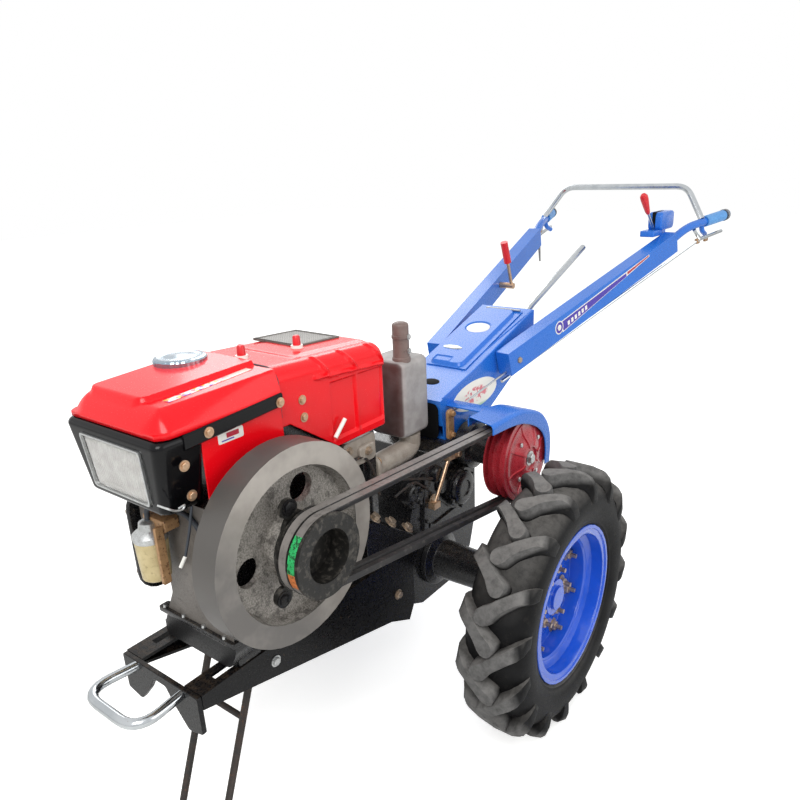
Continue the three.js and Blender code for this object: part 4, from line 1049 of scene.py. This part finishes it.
def buildGuard():
    # a section with two quarter circles carried along a (y, z) path; each row turns inwards as deep as the
    # lip there
    look = guardLook
    rounded = bentPath(look["path"], 26, 7)
    far = np.concatenate([[0], np.cumsum(np.linalg.norm(np.diff(rounded, axis=0), axis=1))])
    even = np.linspace(0, far[-1], 90)
    path = np.stack([np.interp(even, far, rounded[:, k]) for k in (0, 1)], 1)
    ahead = np.gradient(path, axis=0)
    ahead /= np.linalg.norm(ahead, axis=1, keepdims=True)
    inward = np.stack([ahead[:, 1], -ahead[:, 0]], 1)
    share = np.linspace(0, 1, len(path))
    lip = np.interp(share, *np.array(look["lips"]).T)
    q = np.linspace(0, math.pi / 2, 7)
    r, x0, x1 = look["round"], look["x0"], look["x1"]
    xs = np.concatenate([[x0] * 4, x0 + r * (1 - np.cos(q)), np.linspace(x0 + r, x1 - r, 12)[1:-1],
                         x1 - r * (1 - np.sin(q)), [x1] * 6])
    roll = np.concatenate([r * (1 - np.sin(q)), np.zeros(10), r * (1 - np.cos(q))])
    inner = np.linspace(look["innerLip"], r, 5)[:-1]
    outer = np.linspace(0, 1, 7)[1:]
    deep = np.concatenate([np.tile(inner, (len(path), 1)), np.tile(roll, (len(path), 1)),
                           r + (lip[:, None] - r) * outer], 1)
    yz = path[:, None] + deep[..., None] * inward[:, None]
    points = np.concatenate([np.tile(xs, (len(path), 1))[..., None], yz], 2)
    # the front edge runs forward towards the outside
    lean = look["slant"] * (points[..., 0] - x0) / (x1 - x0)
    points[..., 1] += (look["slant"] / 2 - lean) * np.clip(1 - share / 0.12, 0, 1)[:, None]
    makePiece("belt_guard_channel", [gridShape(points)], blueEnamel, "frame", ["belt_guard"], "blue_paint",
              thick=2.0, angle=60)
    tab = cushionBlock((81.2, 72, 650), (190, 112, 654), 1.6, 0.8, axis=0)
    stay = cushionBlock((92, 150, 600), (187, 172, 606), 2, 0.8, axis=0)
    web = prismShape([(120, 640), (180, 630), (180, 575), (150, 575)], 184, 187)
    makePiece("belt_guard_stays", [tab, stay, web], blueEnamel, "frame", bevel=0.6)


buildGuard()
print("drive: guard done")

# belts: a trapezoid carried round both pulleys; print and patch are arcs in degrees on the engine pulley
beltLook = {"section": ((0, -5.4), (0.8, -5.9), (8.6, -8.3), (10, -7.4), (10, 7.4), (8.6, 8.3), (0.8, 5.9),
                        (0, 5.4)), "engineRadius": 59.6, "groove": 11.4, "steps": 90, "print": (130, 181),
            "patchTo": 206}


def beltShape(middle):
    # arcs on the two pulleys joined by their common tangents
    (yA, zA), (yB, zB) = middleMm("flywheel"), middleMm("clutch_pulley")
    low, high = boxMm("clutch_pulley")
    rA, rB = beltLook["engineRadius"], (high[2] - low[2]) / 2 - beltLook["groove"]
    n = beltLook["steps"]
    tilt, far = math.atan2(zB - zA, yB - yA), math.hypot(yB - yA, zB - zA)
    spread = math.acos((rA - rB) / far)
    first = np.linspace(tilt + spread, tilt + 2 * math.pi - spread, n)
    second = np.linspace(tilt - spread, tilt + spread, n)
    up, side = np.array(beltLook["section"]).T
    rows = [np.stack([middle + side * np.ones((n, 1)), y + (r + up) * np.cos(turns)[:, None],
                      z + (r + up) * np.sin(turns)[:, None]], 2)
            for y, z, r, turns in ((yA, zA, rA, first), (yB, zB, rB, second))]
    points, faces = gridShape(np.concatenate(rows), aroundU=True, aroundV=True)
    return points, faces, np.degrees(first)


def buildBelts():
    # the back of each belt is dusty; the outer one carries a printed length and a worn patch
    look = beltLook
    for name, printed in (("belt_inner", False), ("belt_outer", True)):
        low, high = boxMm(name)
        points, faces, turns = beltShape((low[0] + high[0]) / 2)
        row, column = np.divmod(np.arange(len(faces)), len(look["section"]))
        onBack = column == 3
        turn = np.where(row < look["steps"], turns[np.clip(row, 0, look["steps"] - 1)], 999)
        kinds = np.where(onBack, 3, 0)
        if printed:
            kinds[onBack & (turn > look["print"][0]) & (turn < look["print"][1])] = 1
            kinds[onBack & (turn >= look["print"][1]) & (turn < look["patchTo"])] = 2
        shapes = [(points, [faces[k] for k in np.flatnonzero(kinds == kind)], kind)
                  for kind in np.unique(kinds)]
        makePiece(name + "_canvas", shapes, [beltRubber, labelGreen, labelOrange, beltDust], "frame", [name],
                  "belt_rubber")


buildBelts()
print("drive: belts done")

# engine pulley's foot bolts, and the clutch: a ribbed cover and a drum with deep V grooves
clutchLook = {"rim": 103, "grooves": (223.5, 242.5), "grooveTop": 9.2, "grooveFoot": 5.4, "grooveDeep": 13,
              "ribs": 8, "ribFrom": 30, "ribTo": 87,
              "cover": ((0, 0), (0, 90), (1.6, 90), (2.2, 87), (1.2, 83), (1.6, 66), (10, 46), (13, 38),
                        (13, 27), (9, 25), (9, 0)),
              "drumFore": ((199, 62), (199, 97), (201, 102), (205, 102), (207.5, 89), (211.5, 89),
                           (213.8, 102.5)),
              "drumBack": ((254.2, 103), (255, 102), (255, 60), (235, 56), (226, 52), (215, 52),
                           (215, 19.4))}


def buildClutch():
    # each rib is a raised strip that runs outwards on the cover and falls with the distance from the shaft
    look = clutchLook
    foot = boltCircle((boxMm("engine_pulley")[0][0] + 9, *middleMm("flywheel")), 88, 3, 1.9)
    makePiece("pulley_foot_bolts", boltShapes(foot, 18, 4), chassisBlack, "flywheel_body")
    start, (cy, cz) = boxMm("clutch_cover")[0][0], middleMm("clutch_cover")
    along = np.linspace(look["ribFrom"], look["ribTo"], 12)
    rr, ww = np.meshgrid(along, np.array([-3.0, -2.0, 2.0, 3.0]), indexing="ij")
    deep = np.interp(along, [30, 44, 68, 87], [15.5, 13.5, 3.0, 2.0])
    x = start + 0.6 + np.outer(deep, [0, 1, 1, 0])
    shapes = []
    for a in 2 * math.pi * np.arange(look["ribs"]) / look["ribs"] + 0.3:
        points, faces = gridShape(np.stack([x, cy + rr * math.cos(a) - ww * math.sin(a),
                                            cz + rr * math.sin(a) + ww * math.cos(a)], 2))
        shapes.append((points, faces + [[0, 1, 2, 3], [44, 45, 46, 47]]))
    shapes.append(turnedShape(np.array(look["cover"]) + [start, 0], (0, cy, cz), 72))
    makePiece("clutch_cover_ribbed", shapes, clutchRed, "clutch", ["clutch_cover"], "dark_red")
    nuts = boltShapes([((start + 9, cy, cz), (1, 0, 0))], 22, 9)
    nuts += boltShapes(boltCircle((start + 6, cy, cz), 57, 4, 0.7), 10, 3, washer=False)
    makePiece("clutch_nuts", nuts, silverZinc, "clutch")
    rim, deep = look["rim"], look["rim"] - look["grooveDeep"]
    grooves = [(middle + side, r) for middle in look["grooves"] for side, r in (
        (-look["grooveTop"], rim), (-look["grooveFoot"], deep), (look["grooveFoot"], deep),
        (look["grooveTop"], rim))]
    inside = boxMm("clutch_pulley")[0][0]
    profile = [*look["drumFore"], *grooves, *look["drumBack"], (inside, 19.4), (inside, 0), (255, 0)]
    makePiece("clutch_drum_grooved", [turnedShape(profile, (0, cy, cz), 96)], clutchRed, "clutch",
              ["clutch_pulley"], "dark_red")


buildClutch()
print("drive: clutch done")

# console lid: a pressed plate with a raised field, a finger bar, a badge plate and an oval hand hole
lidLook = {"half": 58, "front": 190, "back": 478, "field": (-56, 44, 193, 472, 20), "fieldMm": 8, "wall": 5,
           "slope": 0.31, "slot": (-46, 2, 199, 221, 3), "oval": (-14, 367, 34, 25),
           "badge": (-24, 260, 28, 8)}


def lidHeight(y):
    # the lid's plane climbs to the back
    return 700 + (y - 180) * lidLook["slope"] + 0.35


def insideRound(x, y, x0, x1, y0, y1, r):
    # how far a point lies inside a rectangle with round corners
    p = (x1 - x0) / 2 - r - np.abs(x - (x0 + x1) / 2)
    q = (y1 - y0) / 2 - r - np.abs(y - (y0 + y1) / 2)
    return r - np.hypot(np.minimum(p, 0), np.minimum(q, 0)) + np.clip(np.minimum(p, q), 0, None)


def ovalPlate(x0, y0, a, b, lift, high):
    # rings of an ellipse that follow the lid's plane: wall, softened edge and flat top
    t = np.linspace(0, 2 * math.pi, 48, endpoint=False)
    rings = []
    for k, up in ((1.0, 0), (1.0, high), (0.93, high + 0.5), (0.0, high + 0.5)):
        y = y0 + b * k * np.sin(t)
        rings.append(np.stack([x0 + a * k * np.cos(t), y, lidHeight(y) + lift + up], 1))
    return gridShape(np.stack(rings), aroundV=True)


def buildLid():
    # height over a grid: the plane, a field with a smooth wall, a bordered slot and a dip that rounds into
    # an oval
    look = lidLook
    u, v = np.meshgrid(np.linspace(-1, 1, 141), np.linspace(0, 1, 281), indexing="ij")
    y = look["front"] + v * (look["back"] - look["front"])
    x = u * look["half"]
    field = np.clip(insideRound(x, y, *look["field"]) / look["wall"], 0, 1)
    field = field * field * (3 - 2 * field)
    slot = insideRound(x, y, *look["slot"])
    border = np.clip(1 - np.abs(slot) / 1.6, 0, 1)
    ox, oy, oa, ob = look["oval"]
    oval = np.clip((1.12 - np.sqrt(((x - ox) / oa) ** 2 + ((y - oy) / ob) ** 2)) / 0.12, 0, 1)
    z = lidHeight(y) + 2.4 + look["fieldMm"] * field + 1.4 * border
    z = z - 1.6 * np.clip(slot / 2, 0, 1) - 3.0 * oval
    makePiece("console_lid_pressing", [gridShape(np.stack([x, y, z], 2))], blueEnamel, "lid", ["console_lid"],
              "blue_paint", thick=2.0, angle=48)
    top = 2.4 + look["fieldMm"]
    makePiece("lid_badge", [ovalPlate(*look["badge"], top - 0.4, 1.2)], chromePlate, "lid")
    makePiece("lid_hand_dish", [ovalPlate(ox, oy, oa * 0.97, ob * 0.97, top - 3.2, 1.0)], whiteVinyl, "lid")
    hinge = np.linspace((-52, 0, 0), (52, 0, 0), 6) + [0, look["back"] - 3, lidHeight(look["back"]) + 5]
    makePiece("lid_hinge", [tubeShape(hinge, 3.2, 14)], silverZinc, "lid")


buildLid()

# console: a painted-shade plate as the dark mouth at its open front, another as the dark hand hole in the
# slope, and a blank oval sticker
consoleLook = {"mouth": (-75, 75, 573, 660, 16), "mouthMiddle": 616, "hole": (6, 120, 685.52),
               "sticker": (200, 644)}


def discPatch(name, centre, normal, radiusA, radiusB, material, thick):
    # a flat oval plate: an ellipse swept out from its centre, with a softened edge
    n = np.asarray(normal, float)
    n /= np.linalg.norm(n)
    a = np.cross(n, [0, 0, 1]) if abs(n[2]) < 0.9 else np.array([1.0, 0, 0])
    a /= np.linalg.norm(a)
    b = np.cross(n, a)
    t = np.linspace(0, 2 * math.pi, 56, endpoint=False)[:, None]
    rings = [np.asarray(centre, float) + up * n + k * (radiusA * np.cos(t) * a + radiusB * np.sin(t) * b)
             for k, up in ((0, -0.1), (1.0, -0.1), (1.0, thick * 0.6), (0.96, thick), (0, thick))]
    return makePiece(name, [gridShape(np.stack(rings), aroundV=True)], material, "frame")


def buildConsole():
    # the mouth is one outline shrunk to its middle; ledges and folds are thin tubes along the sheet's edges
    look = consoleLook
    sheetLow, sheetHigh = boxMm("console")
    mouth = roundedOutline(*look["mouth"])
    middle = look["mouthMiddle"]
    rings = [np.stack([mouth[:, 0] * k, np.full(len(mouth), sheetLow[1] - lift),
                       middle + (mouth[:, 1] - middle) * k], 1)
             for k, lift in ((1, -0.4), (1, 0.5), (0.98, 0.7), (0, 0.7))]
    makePiece("console_mouth", [gridShape(np.stack(rings), aroundV=True)], deepShade, "frame")
    discPatch("console_slope_hole", look["hole"], (0, -0.24, 1), 22, 14, deepShade, 0.8)
    discPatch("console_oval_sticker", (sheetHigh[0], *look["sticker"]), (1, 0, 0), 100, 36, ovalSticker(),
              0.5)
    ledge = np.linspace((50, 186, 0), (77, 492, 0), 12)
    ledge[:, 2] = lidHeight(ledge[:, 1]) - 0.05
    fold = bentPath([(79, 60, 671.6), (79, 180, 700.6), (79, 340, 750), (79, 494, 797.6)], 30)
    makePiece("console_folds", [tubeShape(ledge, 1.6, 10), tubeShape(fold, 2.0, 10)], blueEnamel, "frame")


buildConsole()
makeGroup({
    "clutch_pull_rod": (silverZinc, [tubeShape(np.linspace((110, 330, 684), (100, 66, 640), 8), 2.6, 12)]),
    "clutch_bell_crank": (bracketVarnish, [cushionBlock((96, 46, 578), (104, 70, 650), 8, 1.5)]
                          + bolts([(104, 58, 590), (104, 60, 640)], 12, 8)),
    "clutch_rod_eye": (zincPlate, [cushionBlock((98, 46, 528), (106, 84, 546), 7, 2)]
                       + bolts([(106, 76, 536)], 15, 10))})
print("handles: console done")

# stripe along each handle beam
stripeLook = {"front": (104.35, 296, 700), "back": (240, 1120, 920), "half": 21, "disc": 214, "discHalf": 18,
              "from": 226, "to": 690, "blocks": 6}


def beamSpace(side):
    # gives a function from (along, up, out) on the beam's side to a point; side -1 is the far beam
    look = stripeLook
    start, end = np.array(look["front"], float), np.array(look["back"], float)
    axis = (end - start) / np.linalg.norm(end - start)
    out = np.cross(axis, [0, 0, 1])
    out /= np.linalg.norm(out)
    up = np.cross(out, axis)
    return lambda along, high, off: (start + np.multiply.outer(along, axis) + np.multiply.outer(high, up)
                                     + np.multiply.outer(off, out)) * [side, 1, 1]


def stripeBand(at, face, a0, a1, low0, low1, high0, high1, lift, index):
    # a thin slab whose lower and upper edges run straight from one end's heights to the other's
    s, t = np.meshgrid(np.linspace(0, 1, 40), np.array([0.0, 1.0]), indexing="ij")
    along = a0 + (a1 - a0) * s
    low, high = low0 + (low1 - low0) * s, high0 + (high1 - high0) * s
    up = low + (high - low) * t
    top = at(along, up, np.full_like(up, face + lift))
    under = at(along, up, np.full_like(up, face - 0.3))
    return (*closedShape(np.concatenate([top, under[:, ::-1]], 1)), index)


def buildStripe(name, side):
    # a white ground, a purple and a red band, pale blank blocks and a ringed disc, each a little prouder
    look, at = stripeLook, beamSpace(side)
    face, start, end = look["half"] + 0.15, look["from"], look["to"]
    bands = [(start, end, -15, 19, 17, 25.5, 0.25, 0),
             (start + 4, start + 330, -12.5, 10, 14.5, 19.6, 0.4, 1),
             (start + 336, end - 4, 12.5, 20.5, 20.2, 24.2, 0.4, 2)]
    for k in range(look["blocks"]):
        a, up = start + 26 + 17 * k, k * 1.2
        bands.append((a, a + 10, -7 + up, -6.4 + up, 5 + up, 5.6 + up, 0.55, 0))
    shapes = [stripeBand(at, face, *band) for band in bands]
    t = np.linspace(0, 2 * math.pi, 48, endpoint=False)
    for radius, lift, index in ((look["discHalf"], 0.5, 0), (look["discHalf"] - 3, 0.62, 1), (8, 0.74, 0)):
        rings = [at(look["disc"] + k * radius * np.cos(t), 4 + k * radius * np.sin(t), np.full(48, face + up))
                 for k, up in ((0, -0.3), (1, -0.3), (1, lift), (0, lift))]
        shapes.append((*gridShape(np.stack(rings), aroundV=True), index))
    makePiece(name, shapes, [whiteVinyl, stripePurple, stripeRed], "frame")


buildStripe("beam_stripe_left", 1)
buildStripe("beam_stripe_right", -1)

gripLook = {"tip": (322, 1415, 982), "back": (60, 215, 24)}
for gripName, gripSide in (("left", 1), ("right", -1)):
    # a short cap over the sleeve's end and a rolled ring before it, along the grip's own line
    gripTip, gripBack = (np.array(gripLook[k], float) * [gripSide, 1, 1] for k in ("tip", "back"))
    gripBack /= np.linalg.norm(gripBack)
    capPath, ringPath = (gripTip + np.multiply.outer(steps, gripBack)
                         for steps in ((-6, 3, 5), (-16, -12, -8)))
    makePiece("grip_end_" + gripName, [tubeShape(capPath, [18.6, 18.6, 16.5], 28)], greyPaint, "frame")
    makePiece("grip_ring_" + gripName, [tubeShape(ringPath, [18.4, 19.4, 18.4], 28)], gripRubber, "frame")
print("handles: stripes and grips done")

# castings between engine and gearbox: plates by their (y, z) outlines, housings by their (x, radius) profiles
castingLook = {
    "plates": ((((-252, 476), (-244, 492), (-226, 490), (-98, 402), (-84, 384), (-84, 381), (-252, 381)),
                78, 99),
               (((-52, 384), (-36, 384), (-30, 520), (-46, 520)), 80, 99),
               (((-36, 300), (120, 300), (104, 392), (-36, 384)), 88, 97),
               (((-30, 470), (60, 400), (66, 408), (-28, 480)), 90, 98),
               (((-30, 384), (70, 330), (76, 338), (-26, 394)), 90, 98),
               (((-34, 556), (64, 548), (64, 556), (-34, 564)), 88, 97)),
    "bearing": ((88, 55), (96, 55), (97, 50), (101, 50), (102, 46), (105, 46), (106, 50), (109, 50),
                (110, 43), (117, 41), (121, 34), (121, 20), (118, 18), (118, 0), (88, 0)),
    "boss": ((80, 30), (97, 29), (100, 25), (100, 12), (97, 10), (97, 0), (80, 0)),
    "small": ((86, 20), (99, 19), (102, 15), (102, 0), (86, 0)), "slope": (0.5, 0.4, 0.77)}
blockLow = boxMm("engine_block")[0]
blockSide, blockNose = blockLow[0], blockLow[1]
housingBolts = boltCircle((109, 90, 444), 47.5, 6, 0.4) + boltCircle((100, -78, 484), 19, 4, 0.5)
housingBolts += [((99, -44, z), (1, 0, 0)) for z in (408, 450, 496)]
makeGroup({
    "clutch_case_flange": (castBlack, [prismShape(*plate) for plate in castingLook["plates"]],
                           {"bevel": 2.2}),
    "bearing_housings": (castBlack, [turnedShape(castingLook[k], (0, y, z), sides) for k, y, z, sides in (
        ("bearing", 90, 444, 56), ("boss", -78, 484, 40), ("small", 8, 506, 32), ("small", 28, 470, 32))]),
    "housing_bolts": (castBlack, boltShapes(housingBolts, 9, 6, washer=False), {"bevel": 0.6}),
    "flange_bolts": (dulledZinc, bolts([(94, -219, 494), (94, -168, 460), (94, -111, 421)], 19, 10,
                                       castingLook["slope"])
                     + bolts([(99, -15, 451)], 19, 10)),
    "shift_rods": (rustySteel, [
        tubeShape(np.linspace((102, -150, 556), (102, -22, 508), 6), 3.2, 12),
        tubeShape(bentPath([(104, -160, 520), (104, -90, 530), (104, -40, 488)], 20), 2.6, 12)]),
    # valve cover and cooling fins of the head
    "head_castings": (castBlack, [cushionBlock((-60, -176, 486), (22, -158, 598), 14, 5, axis=1)] + [
        cushionBlock((-88, y, 500), (92, y + 4, 676), 6, 1.5, axis=1) for y in range(-300, -200, 20)]),
    "injector_pipe": (rustySteel, [tubeShape(bentPath([(104, -330, 640), (104, -250, 652), (96, -214, 600),
                                                       (96, -200, 540)], 30), 3.0, 12)]),
    "manifold_saddle": (elbowIron, [cushionBlock((88, -300, 628), (99, -206, 684), 10, 3),
                                    cushionBlock((90, -262, 640), (106, -214, 668), 9, 4)]),
    "head_nuts": (dulledZinc, bolts([(106, -238, 654), (99, -286, 668)], 12, 7)),
    # the bolted lip round the nose of the crankcase, where grey paint meets black
    "crankcase_lip": (castBlack, [
        cushionBlock((-72, blockNose - 7, 444), (130, -606, 454), 4, 1.6, axis=2)]),
    "crankcase_lip_bolts": (silverZinc, bolts([(x, blockNose - 2.2, 454) for x in (-58, -4, 50, 104)],
                                              7, 5, (0, 0, 1), washer=False)),
    # far side: the gear case cover with its ring of bolts, the starting shaft's boss and the oil filler
    "gear_case_cover": (castBlack, [
        cushionBlock((blockSide - 9, -636, 470), (blockSide + 1, -396, 676), 42, 4),
        turnedShape([(blockSide - x, r) for x, r in ((16, 0), (16, 34), (14, 42), (8, 44), (8, 0))],
                    (0, -516, 607), 48),
        turnedShape([(blockSide - x, r) for x, r in ((12, 0), (12, 13), (28, 13), (28, 19), (26, 22),
                                                     (8, 24), (8, 0))],
                    (0, -446, 540), 40)]),
    "gear_case_bolts": (dulledZinc, bolts([
        (blockSide - 9, y, z) for y, z in roundedOutline(-628, -404, 478, 668, 36, 3)],
        10, 6, (-1, 0, 0), washer=False)),
    "oil_filler": (redPlastic, [turnedShape([(blockSide - x, r) for x, r in (
        (30, 0), (30, 15), (22, 17), (20, 13), (8, 13), (8, 0))], (0, -598, 520), 32)]),
    # feet on the rails, two nuts each
    "engine_feet": (castBlack, [cushionBlock((side * 84 - 20, y - 26, 380.4), (side * 84 + 20, y + 26, 396),
                                             5, 2, axis=2)
                                for side in (1, -1) for y in (-575, -385)]),
    "foot_nuts": (silverZinc, bolts([(side * 92, y + dy, 396) for side in (1, -1) for y in (-575, -385)
                                     for dy in (-14, 14)], 16, 10, (0, 0, 1)))})

# fuel filter: a moulded bowl under a plated head, on a bent bracket, with a hose
filterLook = {"place": (-12, -652, 0),
              "bowl": ((548, 0), (548, 19), (552, 23.5), (575, 25), (622, 27), (622, 0)),
              "head": ((621, 0), (621, 27.5), (624, 28.5), (631, 28.5), (635, 24), (640, 17), (652, 15),
                       (655, 10), (655, 0)),
              "hose": ((-12, -652, 654), (-12, -650, 676), (20, -640, 684), (60, -624, 672),
                       (92, -622, 640))}
makeGroup({
    "fuel_filter_bowl": (creamBowl, [turnedShape(filterLook["bowl"], filterLook["place"], 40, "z")],
                         {"replaced": ["fuel_filter"], "slot": "filter_metal"}),
    "fuel_filter_head": (silverZinc, [turnedShape(filterLook["head"], filterLook["place"], 40, "z")]),
    "fuel_filter_bracket": (bracketVarnish, [
        cushionBlock((21, -666, 552), (28, -651, 655), 3, 1.2),
        cushionBlock((-30, -650, 640), (28, -619.6, 660), 4, 2, axis=2)]),
    "fuel_hose": (gripRubber, [tubeShape(bentPath(filterLook["hose"], 22), 4.5, 14)])})

# clutch control: a foot plate and a round-shouldered box on the left beam, with a slot and a tapered red knob
knobWide = np.interp(np.linspace(0, 1, 12), [0, 0.1, 0.75, 0.92, 1], [5.5, 7.5, 12.0, 11.5, 7.0])
hookPath = np.array([(284, 1282, 962), (284, 1292, 940), (284, 1330, 926)])
makeGroup({
    "clutch_control_box": (blueEnamel, [cushionBlock((172, 1020, 942), (216, 1132, 960), 4, 2.5, axis=2),
                                        cushionBlock((176, 1074, 956), (220, 1196, 1012), 16, 6)],
                           {"replaced": ["clutch_lever"], "slot": "red_paint"}),
    # the slot is a painted-shade block standing for the unlit opening
    "clutch_control_slot": (deepShade, [cushionBlock((190, 1072.5, 966), (200, 1150, 1012.8), 2, 0.6)]),
    "clutch_control_stem": (chromePlate, [tubeShape(np.linspace((195, 1078, 962), (190, 1030, 1014), 6),
                                                    4.5, 12)]),
    "clutch_control_knob": (redPlastic, [tubeShape(np.linspace((190, 1030, 1012), (187, 986, 1070), 12),
                                                   knobWide, 20)]),
    # clevises where the rods meet the steering levers, and the plain lever hanging from the right beam
    "rod_clevises": (bracketVarnish, [cushionBlock((280, 1232, 902), (290, 1262, 918), 3, 1.5),
                                      cushionBlock((281, 1330, 900), (289, 1362, 912), 3, 1.5),
                                      cushionBlock((-260, 1156, 928), (-248, 1186, 950), 3, 1.5)]),
    "hanging_lever": (greyPaint, [tubeShape(np.linspace((-254, 1172, 934), (-254, 1188, 826), 10),
                                            np.linspace(6.5, 3.0, 10), 14)]),
    "steering_hook_left": (blueEnamel, [tubeShape(bentPath(hookPath, 12), 8, 14)]),
    "steering_hook_right": (blueEnamel, [tubeShape(bentPath(hookPath * [-1, 1, 1], 12), 8, 14)])})

# small trim: a blank label, a hook on the cover, a spring clip, a stub of wire and a core plug
label = [(*cushionBlock(low, high, corner, edge), index) for low, high, corner, edge, index in (
    ((116.2, -590, 790), (117.0, -541, 808), 3, 0.2, 0), ((116.6, -574, 797), (117.4, -550, 805), 1, 0.1, 1),
    ((116.6, -584, 793), (117.3, -560, 795), 0.8, 0.1, 2))]
clipPath = [(112, -704, 737), (121, -694, 729), (120, -682, 720), (120, -670, 717), (120, -664, 724),
            (120, -676, 722)]
wirePath = [(98, -640, 704), (100, -652, 667), (100, -660, 645), (100, -666, 630)]
makeGroup({
    "side_label": ([whiteVinyl, stripeRed, stripePurple], label),
    "cover_hook": (whiteVinyl, [tubeShape(np.linspace((116, -308, 745), (116, -337, 717), 6), 4, 12)]),
    "spring_clip": (silverZinc, [tubeShape(bentPath(clipPath, 5), 1.7, 10)]),
    "loose_wire": (gripRubber, [tubeShape(bentPath(wirePath, 12), 2.2, 10)]),
    "wire_end": (whiteVinyl, [tubeShape(np.linspace((100, -666, 630), (100, -677, 616), 4), 3.0, 10)]),
    "core_plug": (silverZinc, bolts([(105.8, -525, 345)], 14, 6)),
    # panel and chassis bolts, the same on both sides
    "panel_bolts": (zincPlate, boltShapes([((side * x, y, z), (side, 0, 0)) for x, y, z in (
        (124, -659, 784), (124, -654, 735), (123, -609, 819), (123, -466, 824), (111, -406, 809),
        (111, -405, 777))
        for side in (1, -1)], 11, 5)),
    "chassis_bolts": (dulledZinc, boltShapes([((side * x, y, z), (side, lean, 0)) for x, y, z, lean in (
        (106, -168, 285, 0), (127.5, 330, 706, -0.16)) for side in (1, -1)], 15, 8))})
print("trim: castings, filter, controls and fasteners done")

# floor, light and world
studioLook = {"floor": "#f6f6f4", "lift": 0.55, "around": 0.62, "key": 80, "fill": 28, "rim": 40}


def makeStudio(look):
    # a pale floor, a white world and three soft lamps aimed at the engine
    size = 14.0
    mesh = bpy.data.meshes.new("floor")
    mesh.from_pydata([(-size, -size, 0), (size, -size, 0), (size, size, 0), (-size, size, 0)], [],
                     [(0, 1, 2, 3)])
    floor = bpy.data.objects.new("floor", mesh)
    bpy.context.scene.collection.objects.link(floor)
    floor.location.z = -0.0015
    material, tree, _ = startMaterial("matt_floor_paint")
    paper = addNode(tree, "BsdfPrincipled", {"Roughness": 0.9, "Base Color": toLinear(look["floor"]),
                                             "Specular IOR Level": 0.1})
    # the floor reads white to the eye alone, so it throws no light of its own on the tractor
    seen = addNode(tree, "LightPath", out="Is Camera Ray")
    lift = addNode(tree, "Math", {0: seen, 1: look["lift"]}, operation="MULTIPLY")
    glow = addNode(tree, "Emission", {"Color": (1, 1, 1, 1), "Strength": lift})
    addNode(tree, "OutputMaterial", {"Surface": addNode(tree, "AddShader", {0: paper, 1: glow})})
    mesh.materials.append(material)
    world = bpy.data.worlds.new("studio")
    bpy.context.scene.world = world
    world.use_nodes = True
    tree = world.node_tree
    tree.nodes.clear()
    # white where the camera, a reflection or the glass sees it, and dimmer as a light
    seen = addNode(tree, "LightPath", out="Is Camera Ray")
    for ray in ("Is Glossy Ray", "Is Transmission Ray"):
        seen = addNode(tree, "Math", {0: seen, 1: addNode(tree, "LightPath", out=ray)}, operation="MAXIMUM")
    strength = addNode(tree, "MapRange", {0: seen, 3: look["around"]})
    sky = addNode(tree, "Background", {"Color": (1, 1, 1, 1), "Strength": strength})
    addNode(tree, "OutputWorld", {"Surface": sky})
    for name, place, watts, wide in (("key", (1.2, -2.6, 3.0), look["key"], 1.8),
                                     ("fill", (3.2, 0.6, 1.8), look["fill"], 2.4),
                                     ("rim", (-2.4, 1.8, 2.8), look["rim"], 2.0)):
        lamp = bpy.data.lights.new(name, "AREA")
        lamp.energy, lamp.size = watts, wide
        lampObject = bpy.data.objects.new(name, lamp)
        bpy.context.scene.collection.objects.link(lampObject)
        lampObject.location = place
        lampObject.rotation_mode = "QUATERNION"
        lampObject.rotation_quaternion = (Vector((0, 0, 0.55)) - Vector(place)).to_track_quat("-Z", "Y")


makeStudio(studioLook)
